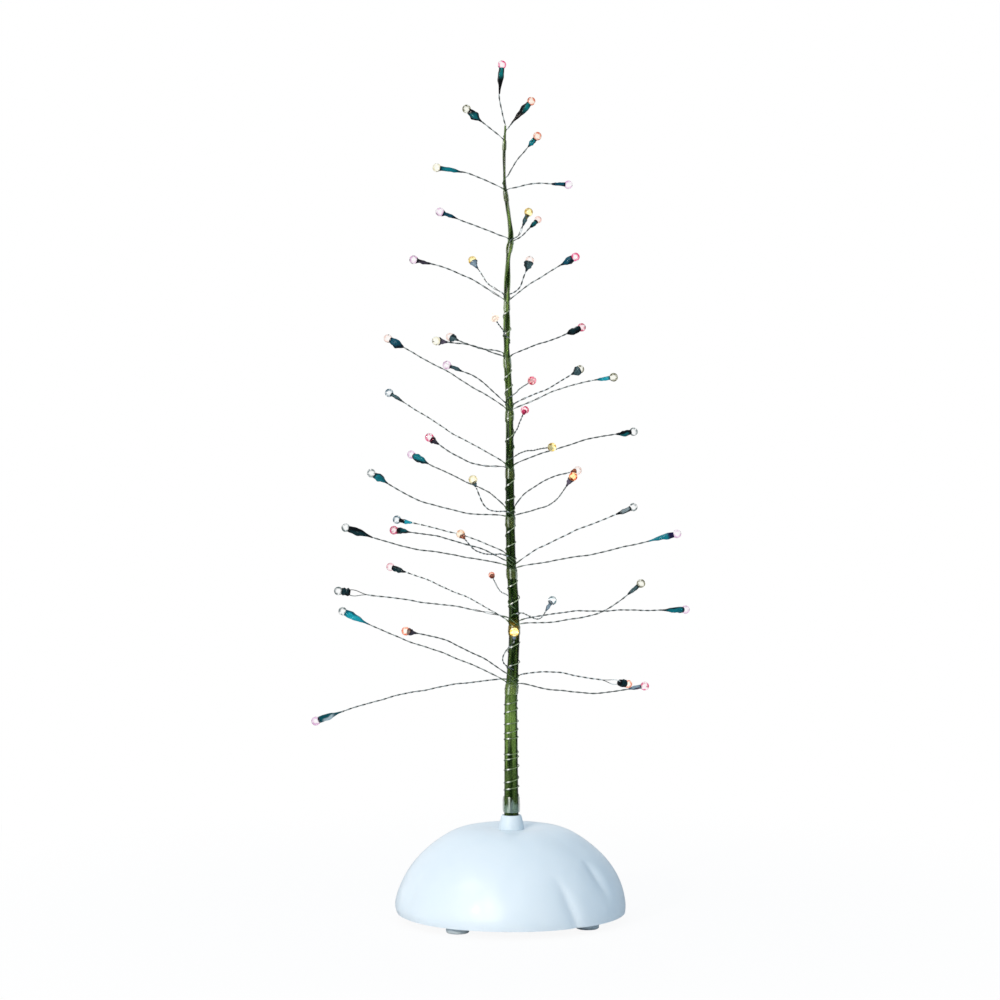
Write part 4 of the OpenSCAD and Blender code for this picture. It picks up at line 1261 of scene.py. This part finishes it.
class Globe(Enum):
    """Colours of a lamp's glass, its heart and its rim, and its size beside a plain one."""

    ROSE = ((1.0, 0.94, 0.96), (0.78, 0.02, 0.14), 1.0)
    LILAC = ((1.0, 0.97, 0.995), (0.74, 0.40, 0.68), 1.0)
    BLUSH = ((1.0, 0.96, 0.97), (0.88, 0.42, 0.50), 1.0)
    VEIL = ((1.0, 0.98, 0.97), (0.94, 0.68, 0.60), 1.0)
    CRIMSON = ((1.0, 0.84, 0.87), (0.50, 0.005, 0.06), 1.0)
    SCARLET = ((1.0, 0.74, 0.80), (0.66, 0.003, 0.05), 1.0)
    SPARK = ((0.97, 0.62, 0.48), (0.55, 0.05, 0.02), 0.78)
    CORAL = ((1.0, 0.90, 0.80), (0.75, 0.14, 0.06), 1.0)
    TINY = ((1.0, 0.90, 0.86), (0.85, 0.34, 0.26), 0.85)
    PEARL = ((1.0, 0.92, 0.85), (0.98, 0.84, 0.72), 1.1)
    CREAM = ((1.0, 0.88, 0.72), (0.80, 0.42, 0.22), 1.0)
    HONEY = ((1.0, 0.92, 0.52), (0.46, 0.24, 0.02), 1.0)
    FLAME = ((1.0, 0.88, 0.45), (0.50, 0.25, 0.01), 1.0)
    STRAW = ((1.0, 0.97, 0.80), (0.60, 0.48, 0.18), 1.0)
    IVORY = ((1.0, 1.0, 0.93), (0.86, 0.80, 0.52), 1.0)
    OLIVE = ((0.98, 0.98, 0.90), (0.07, 0.07, 0.02), 1.0)
    SMOKE = ((0.98, 0.99, 0.99), (0.10, 0.14, 0.14), 1.0)
    ICE = ((0.94, 0.98, 1.0), (0.03, 0.09, 0.13), 1.0)
    EMBER = ((1.0, 0.74, 0.38), (0.40, 0.006, 0.0), 1.0)
    RING = ((0.93, 0.98, 1.0), (0.03, 0.09, 0.11), 1.0)


# Lamps of each tier from the lowest up, and from left to right: cut, tone, glass, and how far it is lit
LAMP_STYLES: tuple[tuple[tuple[Cut, Tone, Globe, float], ...], ...] = (
    ((Cut.LONG, Tone.FROST, Globe.LILAC, 0.0), (Cut.LONG, Tone.AQUA, Globe.SMOKE, 0.0),
     (Cut.CONE, Tone.ASH, Globe.CORAL, 0.15), (Cut.STUB, Tone.MIST, Globe.FLAME, 0.95),
     (Cut.BLOCK, Tone.NIGHT, Globe.CORAL, 0.1), (Cut.SLIM, Tone.MIST, Globe.ROSE, 0.0)),
    ((Cut.BLOCK, Tone.NIGHT, Globe.SMOKE, 0.0), (Cut.SPINDLE, Tone.NIGHT, Globe.BLUSH, 0.0),
     (Cut.STUB, Tone.RUST, Globe.SPARK, 0.1), (Cut.SLIM, Tone.MIST, Globe.RING, 0.15),
     (Cut.SLIM, Tone.SLATE, Globe.OLIVE, 0.0), (Cut.LONG, Tone.TEAL, Globe.LILAC, 0.0)),
    ((Cut.LONG, Tone.NIGHT, Globe.SMOKE, 0.0), (Cut.SLIM, Tone.CAP, Globe.ICE, 0.0),
     (Cut.DROP, Tone.DUSK, Globe.CRIMSON, 0.0), (Cut.STUB, Tone.RUST, Globe.CREAM, 0.1),
     (Cut.SPINDLE, Tone.SILVER, Globe.SMOKE, 0.0), (Cut.LONG, Tone.PLUM, Globe.LILAC, 0.0)),
    ((Cut.LEAF, Tone.TEAL, Globe.SMOKE, 0.0), (Cut.DART, Tone.TEAL, Globe.LILAC, 0.0),
     (Cut.STUB, Tone.SLATE, Globe.STRAW, 0.1), (Cut.CONE, Tone.MAUVE, Globe.EMBER, 0.25),
     (Cut.STUB, Tone.RUST, Globe.VEIL, 0.0)),
    ((Cut.SLIM, Tone.SLATE, Globe.ICE, 0.0), (Cut.CONE, Tone.ASH, Globe.ROSE, 0.0),
     (Cut.STUB, Tone.CHERRY, Globe.CRIMSON, 0.1), (Cut.STUB, Tone.SLATE, Globe.HONEY, 0.6),
     (Cut.SPINDLE, Tone.DUSK, Globe.SMOKE, 0.0)),
    ((Cut.LUMP, Tone.NAVY, Globe.VEIL, 0.0), (Cut.SLIM, Tone.SLATE, Globe.LILAC, 0.0),
     (Cut.STUB, Tone.SHELL, Globe.SCARLET, 0.3), (Cut.CUP, Tone.SLATE, Globe.OLIVE, 0.0),
     (Cut.SLIM, Tone.AQUA, Globe.OLIVE, 0.0)),
    ((Cut.FIN, Tone.MAUVE, Globe.IVORY, 0.0), (Cut.FIN, Tone.SLATE, Globe.VEIL, 0.0),
     (Cut.STUB, Tone.SHELL, Globe.PEARL, 0.6), (Cut.LUMP, Tone.NIGHT, Globe.CRIMSON, 0.0)),
    ((Cut.FLARED, Tone.ASH, Globe.LILAC, 0.0), (Cut.FIN, Tone.MIST, Globe.HONEY, 0.1),
     (Cut.CUP, Tone.SLATE, Globe.VEIL, 0.0), (Cut.DROP, Tone.NAVY, Globe.ROSE, 0.0)),
    ((Cut.FLARED, Tone.NAVY, Globe.LILAC, 0.0), (Cut.SLIM, Tone.SLATE, Globe.HONEY, 0.1),
     (Cut.BUD, Tone.DUSK, Globe.TINY, 0.0)),
    ((Cut.LANCE, Tone.TEAL, Globe.IVORY, 0.0), (Cut.BUD, Tone.TEAL, Globe.CORAL, 0.0),
     (Cut.SLIM, Tone.NAVY, Globe.LILAC, 0.0)),
    ((Cut.LEAF, Tone.DUSK, Globe.OLIVE, 0.0), (Cut.LONG, Tone.JET, Globe.ROSE, 0.0),
     (Cut.LONG, Tone.JET, Globe.CORAL, 0.0)),
)


@dataclass
class Branch:
    """One branch: its middle line from trunk to sleeve, its lamp's direction and style, and its bow."""

    line: Array
    axis: Array
    cut: Cut
    tone: Tone
    globe: Globe
    lit: float
    bow: float = 0.0

    @property
    def tail(self) -> Array:
        """Where the lamp's straight run begins."""
        return self.line[-1]

    @property
    def side(self) -> Array:
        """Level direction square to the branch.

        Returns:
            Unit vector.
        """
        run = self.tail - self.line[0]
        heading = run if np.hypot(run[0], run[1]) > 4 * MM else np.array([-1.0, 0.0, 0.0])
        return unit(np.array([-heading[1], heading[0], 0.0]))


@dataclass
class Branches:
    """Tiers of branches: twisted pairs, crinkled sleeves and tinted lamps."""

    trunk: Trunk
    wire_r: float = 0.13 * MM
    apart: float = 0.14 * MM
    pitch: float = 5.6 * MM
    line_step: float = 0.5 * MM
    run_step: float = 0.4 * MM
    slow_wave: float = 21.0 * MM
    slow_size: float = 0.20 * MM
    quick_wave: float = 8.5 * MM
    quick_size: float = 0.05 * MM
    gap_w: float = 2.6 * MM
    loop: float = 0.95 * MM
    loop_w: float = 3.0 * MM
    sleeve_end: float = 7.2 * MM
    sleeve_rows: int = 34
    sleeve_columns: int = 28
    globe_r: float = 1.5 * MM
    globe_place: float = 8.496 * MM
    neck_r: float = 0.8 * MM
    neck_end: float = -1.36 * MM
    bowed: int = 3
    bow: float = -4.0 * MM
    # Colour of the painted glints on the pairs.
    painted_glint: Colour = (0.85, 0.90, 0.88)
    all_branches: list[list[Branch]] = field(default_factory=list)

    def read(self) -> None:
        """Recovers every branch from the six-sided rings of its CAD wire, and gives it its style."""
        spine = self.trunk.axis(np.linspace(self.trunk.levels[0], self.trunk.levels[-1], 400))
        for k, styles in enumerate(LAMP_STYLES):
            runs = []
            for points in solids(f"tier_{k + 1:02d}_wires"):
                centred = points - points.mean(axis=0)
                along = np.linalg.svd(centred, full_matrices=False)[2][0]
                rings = points[np.argsort(centred @ along)].reshape(-1, 6, 3).mean(axis=1)
                far = np.linalg.norm(rings[[0, -1], None] - spine[None], axis=2).min(axis=1)
                rings = rings if far[0] < far[1] else rings[::-1]
                runs.append((rings[:-1], unit(rings[-1] - rings[-2])))
            runs.sort(key=lambda run: run[0][-1, 0] + self.globe_place * run[1][0])
            tier = [Branch(line, axis, *style) for (line, axis), style in zip(runs, styles, strict=True)]
            self.all_branches.append(tier)
        self.all_branches[0][self.bowed].bow = self.bow

    def wavered(self, branch: Branch, rng: np.random.Generator) -> Array:
        """The branch's line in even steps, with small bends and its run up to the bulb's neck.

        Two sine waves of different lengths move it aside and up; both die out at the ends. A bowed branch
        also swings out by half a sine wave.

        Args:
            branch: Whose line it is.
            rng: Gives the phases.

        Returns:
            Rows of points.
        """
        neck = branch.tail + (self.sleeve_end - 2.4 * MM) * branch.axis
        line = through(np.concatenate([branch.line, neck[None]]), self.line_step)
        share = np.linspace(0, 1, len(line))
        run = TAU * share * self.line_step * len(line)
        _, across, upright = side_frame(line, branch.side)
        fade = np.sin(math.pi * np.clip(share * 1.12, 0, 1)) ** 0.7
        for way in (across, upright):
            phase = rng.uniform(0, TAU, 2)
            wave = self.slow_size * np.sin(run / self.slow_wave + phase[0])
            wave = wave + self.quick_size * np.sin(run / self.quick_wave + phase[1])
            line = line + (wave * fade)[:, None] * way
        line[:, 0] += branch.bow * np.sin(math.pi * np.clip(share / 0.97, 0, 1))
        return line

    def pair(self, whole: Surface, line: Array, square_to: Array, spread: Array, phase: float,
             under: Array) -> None:
        """Two strands laid round a line: line +/- spread * (cos a u + sin a v), a turning once each pitch.

        Where the strands stand apart they turn more slowly, in proportion. Twice a turn they carry a painted
        glint.

        Args:
            whole: Surface that takes the strands.
            line: Even points.
            square_to: A direction that the line never takes, one or by point.
            spread: Distance of each strand from the line, by point.
            phase: Angle at the start.
            under: How far the strands lie under the trunk's film and take its green, by point.
        """
        step = np.linalg.norm(np.diff(line, axis=0), axis=1).mean()
        angle = phase + TAU * step / self.pitch * np.cumsum(self.apart / spread)
        _, across, upright = side_frame(line, square_to)
        arm = spread[:, None] * (np.cos(angle)[:, None] * across + np.sin(angle)[:, None] * upright)
        # Painted glints: the strands pale towards the glint colour twice a turn.
        light = (0.15 + 0.8 * (phase / TAU) ** 1.4) * ease(0.25, 0.85, np.sin(2 * angle))
        for hand, bare, green in ((1.0, (0.016, 0.027, 0.025), (0.03, 0.06, 0.02)),
                                  (-1.0, (0.11, 0.14, 0.13), (0.16, 0.24, 0.11))):
            tone = mix(mix(bare, self.painted_glint, light[:, None]), green, under[:, None])
            whole.add(tube(line + hand * arm, self.wire_r, 6, square_to), tone=tone)

    def wrap(self, branch: Branch, rng: np.random.Generator) -> Array:
        """Points that wind round the trunk's front up to the branch and leave along it.

        A helix beside the film, rising towards the branch's own side, that comes out of the bundle at its
        low end.

        Args:
            branch: Whose pair winds here.
            rng: Gives the turn and the climb.

        Returns:
            Rows of points.
        """
        root = branch.line[0]
        out = branch.line[2] - root
        heading = math.atan2(out[1], out[0])
        hand = 1.0 if math.cos(heading) >= 0 else -1.0
        back = np.radians(np.linspace(rng.uniform(150, 210), 28, 10))
        climb = np.linspace(rng.uniform(3.0, 4.6), 0.5, 10) * MM
        lift = np.array([-0.3, *[0.02] * 9]) * MM
        helix = self.trunk.round_trunk(root[2] - climb, heading - hand * back, lift)
        leaving = root + 0.25 * out - 0.1 * MM * UP
        return np.concatenate([helix, leaving[None]])

    def build_pair(self, whole: Surface, branch: Branch, rng: np.random.Generator, wound: bool) -> None:
        """One branch's pair, in one run from the trunk to the bulb's neck.

        Args:
            whole: Surface that takes the pair.
            branch: Whose pair it is.
            rng: Gives the bends, the gap between the strands and the phase.
            wound: Whether the run starts with a wrap round the trunk.
        """
        line = self.wavered(branch, rng)
        gap = rng.uniform(-2.6, 0.35) * MM
        spot = rng.uniform(3.0, 6.5) * MM
        hidden = 0.0
        if branch.bow:
            line = np.concatenate([self.trunk.axis(line[:1, 2]), line])
        if wound:
            start = int(0.9 * np.linalg.norm(branch.line[2] - branch.line[0]) / self.line_step)
            wrap = self.wrap(branch, rng)
            hidden = np.linalg.norm(np.diff(wrap, axis=0), axis=1).sum()
            line = through(np.concatenate([wrap, line[start:-1:4], line[-1:]]), self.run_step)
        place = self.run_step * np.arange(len(line)) - hidden
        spread = self.apart + max(0.0, gap) * bell(place, spot, self.gap_w)
        if branch.cut is Cut.BLOCK:
            near = place[-1] - (branch.cut.value[0] - 1.2) * MM
            spread = spread + self.loop * bell(place, near, self.loop_w)
        under = (1 - ease(-2.2 * MM, -0.6 * MM, place)) * wound
        turned = mix((0.01, 0.02, 1.0), branch.side, ease(-0.5 * MM, 2.0 * MM, place))
        self.pair(whole, line, turned if wound else branch.side, spread, rng.uniform(0, TAU), under)

    def build_pairs(self) -> None:
        """Twisted pairs of every tier; the bowed branch and the tree's tip start without a wrap."""
        tip = self.all_branches[-1][1]
        for k, tier in enumerate(self.all_branches):
            whole = Surface()
            for j, branch in enumerate(tier):
                wound = branch.bow == 0 and branch is not tip
                self.build_pair(whole, branch, np.random.default_rng(100 * k + j), wound)
            settle(whole.build(f"tier_{k + 1:02d}_pairs"), PAIR, f"tier_{k + 1:02d}_wires")

    def sleeve(self, branch: Branch, rng: np.random.Generator) -> tuple[Array, Array]:
        """Grid of one crinkled sleeve and its colours.

        Its outline is the cut's, made smooth and nicked by two waves along it; the girth is squeezed by
        1 + a cos(2t) + b cos(3t) and by creases |sin| that turn along the sleeve; past the open end the wall
        turns in to the bulb's neck. The panel covers its share of the turn and fades at its own two ends; it
        is partly the sleeve's own second colour and partly painted sheen, centred near the side that faces
        the camera, stronger on the crinkles' ridges and weaker in their hollows.

        Args:
            branch: Whose sleeve it is.
            rng: Gives the phases.

        Returns:
            Grid of points and grid of colours.
        """
        length, girth, outline = branch.cut.value
        share = np.linspace(0, 1, self.sleeve_rows)
        smooth = through(np.stack([np.linspace(0, 1, 6), np.array(outline), np.zeros(6)], axis=1), 0.02)
        half = np.interp(share, smooth[:, 0], smooth[:, 1]) * girth / 2
        end, neck = half[-1], self.neck_of(branch) / MM
        place = self.sleeve_end / MM - length + share * (length + 0.25)
        radius = np.concatenate([half, [end - 0.08, max(neck + 0.12, end - 0.3), neck + 0.06]])
        height = np.concatenate([place, place[-1] + np.array([0.02, -0.12, -0.45])])
        along = np.concatenate([share, [1.0, 1.0, 1.0]])[:, None]
        turn = np.linspace(0, TAU, self.sleeve_columns, endpoint=False)[None, :]
        phase = rng.uniform(0, TAU, 7)
        grip = np.concatenate([np.sin(math.pi * share * 0.92) ** 0.8, [0.25, 0.1, 0.0]])[:, None]
        nick = 0.07 * np.sin(11 * along + phase[5]) + 0.05 * np.sin(19 * along + phase[6] + turn)
        squeeze = (0.13 * np.cos(2 * turn + phase[0] + 1.2 * along)
                   + 0.05 * np.cos(3 * turn + phase[1] + 3 * along)
                   - 0.17 * np.abs(np.sin(2 * turn + phase[2] + 2.2 * along)) ** 6
                   - 0.12 * np.abs(np.sin(1.5 * turn + phase[3] - 3 * along)) ** 10
                   + 0.04 * np.sin(17 * along + 2 * turn + phase[4]) + nick)
        girths = radius[:, None] * (1 + grip * squeeze)
        across = branch.side
        upright = np.cross(branch.axis, across)
        bend = 0.12 * np.sin(math.pi * along) * math.cos(phase[4])
        ring = np.cos(turn)[..., None] * across + np.sin(turn)[..., None] * upright
        grid = (branch.tail + MM * (height[:, None, None] * branch.axis + girths[..., None] * ring
                                    + bend[..., None] * upright))
        # Painted sheen: the panel is centred near the side that faces the camera.
        camera_side = math.atan2(-upright[1], -across[1]) + rng.uniform(-1.0, 1.0)
        ground, pale, width, low, high = branch.tone.value
        # Painted sheen and shade: the panel grows on the crinkles' ridges and shrinks in their hollows.
        facing = 0.5 + 0.5 * np.cos(turn - camera_side + 1.4 * (along - 0.5)) + 0.6 * squeeze
        ends = ease(low, low + 0.3, along) * (1 - ease(high - 0.15, high, along))
        return grid, mix(ground, pale, ease(0.88 - width, 1.12 - width, facing) * ends)

    def neck_of(self, branch: Branch) -> float:
        """Radius of a lamp's neck, which its sleeve covers."""
        return min(self.neck_r, 0.42 * branch.cut.value[1] * MM)

    def build_sleeves(self) -> None:
        """Sleeves of every tier."""
        for k, tier in enumerate(self.all_branches):
            whole = Surface()
            for j, branch in enumerate(tier):
                grid, tone = self.sleeve(branch, np.random.default_rng(5000 + 100 * k + j))
                whole.add(grid, tone=tone)
            settle(whole.build(f"tier_{k + 1:02d}_crinkled"), SLEEVE, f"tier_{k + 1:02d}_sleeves")

    def lamp(self, branch: Branch, centre: Array) -> Array:
        """Grid of one lamp: a glass globe on its neck, turned from one outline.

        The outline follows the globe, r = sqrt(R^2 - h^2), from the tip to where it meets the neck.

        Args:
            branch: Whose lamp it is.
            centre: Middle of the globe.

        Returns:
            Grid of points.
        """
        size = branch.globe.value[2]
        globe_r, neck_r = size * self.globe_r, size * self.neck_of(branch)
        fall = np.linspace(math.pi - math.asin(neck_r / globe_r), math.radians(6), 18)
        globe = globe_r * np.stack([np.sin(fall), np.cos(fall)], axis=1)
        back = (self.sleeve_end - self.globe_place) - 0.45 * branch.cut.value[0] * MM
        neck = np.array([[neck_r * 0.5, back], [neck_r * 0.8, back + 0.3 * MM], [neck_r, self.neck_end]])
        return lathe(np.concatenate([neck, globe]), 24, centre, branch.axis)

    def build_lamps(self) -> None:
        """Lamps by the tint of the CAD bulb at their place, with the light of the lit ones."""
        bulbs = {tint: merged(f"{tint}_bulbs")[0] for tint in GLASS}
        wholes = {tint: Surface() for tint in GLASS}
        for branch in (branch for tier in self.all_branches for branch in tier):
            centre = branch.tail + self.globe_place * branch.axis
            near = {tint: np.linalg.norm(points - centre, axis=1).min() for tint, points in bulbs.items()}
            heart, rim, _ = branch.globe.value
            whole = wholes[min(near, key=near.get)]
            whole.add(self.lamp(branch, centre), heart=heart, rim=rim, lit=branch.lit)
        for tint, whole in wholes.items():
            settle(whole.build(f"{tint}_lamps"), GLASS[tint], f"{tint}_bulbs")

    def build(self) -> None:
        """Makes the branches' pieces."""
        self.read()
        self.build_pairs()
        self.build_sleeves()
        self.build_lamps()


@dataclass
class Studio:
    """Camera, pale floor, white surroundings and soft lamps."""

    eye: Colour = (0.0, -1.0, 0.186)
    aim: Colour = (-0.004, 0.0, 0.1472)
    lens: float = 103.1
    sensor: float = 36.0
    sky: float = 0.512
    sky_colour: Colour = (0.71, 0.857, 1.0)
    dim_room: float = 0.8
    floor_half: float = 6.0
    lamp_aim: Colour = (0.0, 0.0, 0.12)

    def add(self, name: str, data: Any, spot: Colour, aim: Colour) -> bpy.types.Object:
        """Adds a camera or a lamp.

        Args:
            name: Name of the object.
            data: The camera or lamp.
            spot: Where it stands.
            aim: Point that it looks at.

        Returns:
            The object.
        """
        made = bpy.data.objects.new(name, data)
        made.location = spot
        made.rotation_euler = (Vector(aim) - Vector(spot)).to_track_quat("-Z", "Y").to_euler()
        bpy.context.scene.collection.objects.link(made)
        return made

    def build_camera(self) -> None:
        """Camera at the photograph's height, looking a little down."""
        data = bpy.data.cameras.new("camera")
        data.lens = self.lens
        data.sensor_width = self.sensor
        data.clip_start = 0.01
        bpy.context.scene.camera = self.add("camera", data, self.eye, self.aim)

    def add_lamp(self, name: str, spot: Colour, size: Span, power: float, colour: Colour) -> None:
        """A soft rectangular lamp that is aimed at the tree.

        Args:
            name: Name of the lamp.
            spot: Where it stands.
            size: Width and height.
            power: Power in watts.
            colour: Colour of its light.
        """
        data = bpy.data.lights.new(name, "AREA")
        data.shape = "RECTANGLE"
        data.size, data.size_y = size
        data.energy = power
        data.color = colour
        self.add(name, data, spot, self.lamp_aim)

    def ray(self, sheet: NodeSheet, kind: str) -> Value:
        """1 for light paths of a kind and 0 for the others."""
        return sheet.node("ShaderNodeLightPath", out=f"Is {kind} Ray")

    def seen(self, sheet: NodeSheet) -> Value:
        """1 for rays from the camera, or seen in gloss or glass, and 0 for light on the object."""
        direct = self.ray(sheet, "Camera") + self.ray(sheet, "Glossy")
        return (direct + self.ray(sheet, "Transmission")).step(0.0, 0.5)

    def white(self, sheet: NodeSheet, bright: Value | float = 0.0) -> Value:
        """Strength of what is seen: 1, but in gloss only where it is bright, and a dim room elsewhere."""
        mirrored = self.ray(sheet, "Glossy") * (1.0 - self.ray(sheet, "Transmission"))
        return 1.0 - mirrored * (self.dim_room - self.dim_room * bright)

    def build_world(self) -> None:
        """White surroundings where they are seen, and as light a blue that is stronger from above."""
        world = bpy.data.worlds.new("studio")
        world.use_nodes = True
        sheet = NodeSheet(world.node_tree)
        way = sheet.node("ShaderNodeTexCoord", out="Generated")
        x, y, z = (sheet.node("ShaderNodeSeparateXYZ", None, {"Vector": way}, out=out) for out in "XYZ")
        behind = y.step(0.35, 0.8) * (1.0 - 0.7 * x.step(0.1, 0.6))
        strength = self.sky * (0.85 + 0.9 * z.step(0.1, 1.0))
        light = sheet.node("ShaderNodeBackground", None, {"Color": self.sky_colour, "Strength": strength})
        white = sheet.node("ShaderNodeBackground", None,
                           {"Color": (1.0, 1.0, 1.0), "Strength": self.white(sheet, behind)})
        mixed = sheet.node("ShaderNodeMixShader", None, {0: self.seen(sheet), 1: light, 2: white})
        sheet.node("ShaderNodeOutputWorld", None, {"Surface": mixed})
        bpy.context.scene.world = world

    def build_floor(self) -> None:
        """Pale floor that reads white but keeps the shadow."""
        half = self.floor_half
        mesh = bpy.data.meshes.new("floor")
        corners = [(-half, -half, 0), (half, -half, 0), (half, half, 0), (-half, half, 0)]
        mesh.from_pydata(corners, [], [(0, 1, 2, 3)])
        floor = bpy.data.objects.new("floor", mesh)
        bpy.context.scene.collection.objects.link(floor)
        material = bpy.data.materials.new("pale_floor")
        material.use_nodes = True
        sheet = NodeSheet(material.node_tree)
        matt = sheet.node("ShaderNodeBsdfDiffuse", None, {"Color": (0.9, 0.91, 0.92)})
        white = sheet.node("ShaderNodeEmission", None,
                           {"Color": (1.0, 1.0, 1.0), "Strength": self.white(sheet)})
        away = sheet.node("ShaderNodeVectorMath", {"operation": "LENGTH"}, {0: sheet.place()}, out="Value")
        share = self.seen(sheet) * (0.93 + 0.07 * away.step(0.06, 0.3))
        mixed = sheet.node("ShaderNodeMixShader", None, {0: share, 1: matt, 2: white})
        sheet.node("ShaderNodeOutputMaterial", None, {"Surface": mixed})
        mesh.materials.append(material)

    def build(self) -> None:
        """Sets the camera, the surroundings and the lamps."""
        self.build_camera()
        self.build_world()
        self.build_floor()
        self.add_lamp("key", (-0.67, -1.13, 0.49), (0.10, 0.115), 8.2, (1.0, 0.885, 0.785))
        self.add_lamp("top", (-0.79, -0.52, 1.02), (0.5, 0.4), 2.6, (1.0, 0.95, 0.9))
        bpy.context.scene.view_settings.view_transform = "Standard"


def main() -> None:
    """Builds the studio and the tree."""
    Studio().build()
    SnowMound().build()
    Underside().build()
    trunk = Trunk()
    trunk.build()
    Branches(trunk).build()


if __name__ == "__main__":
    logging.basicConfig(level=logging.INFO, format="%(message)s")
    main()
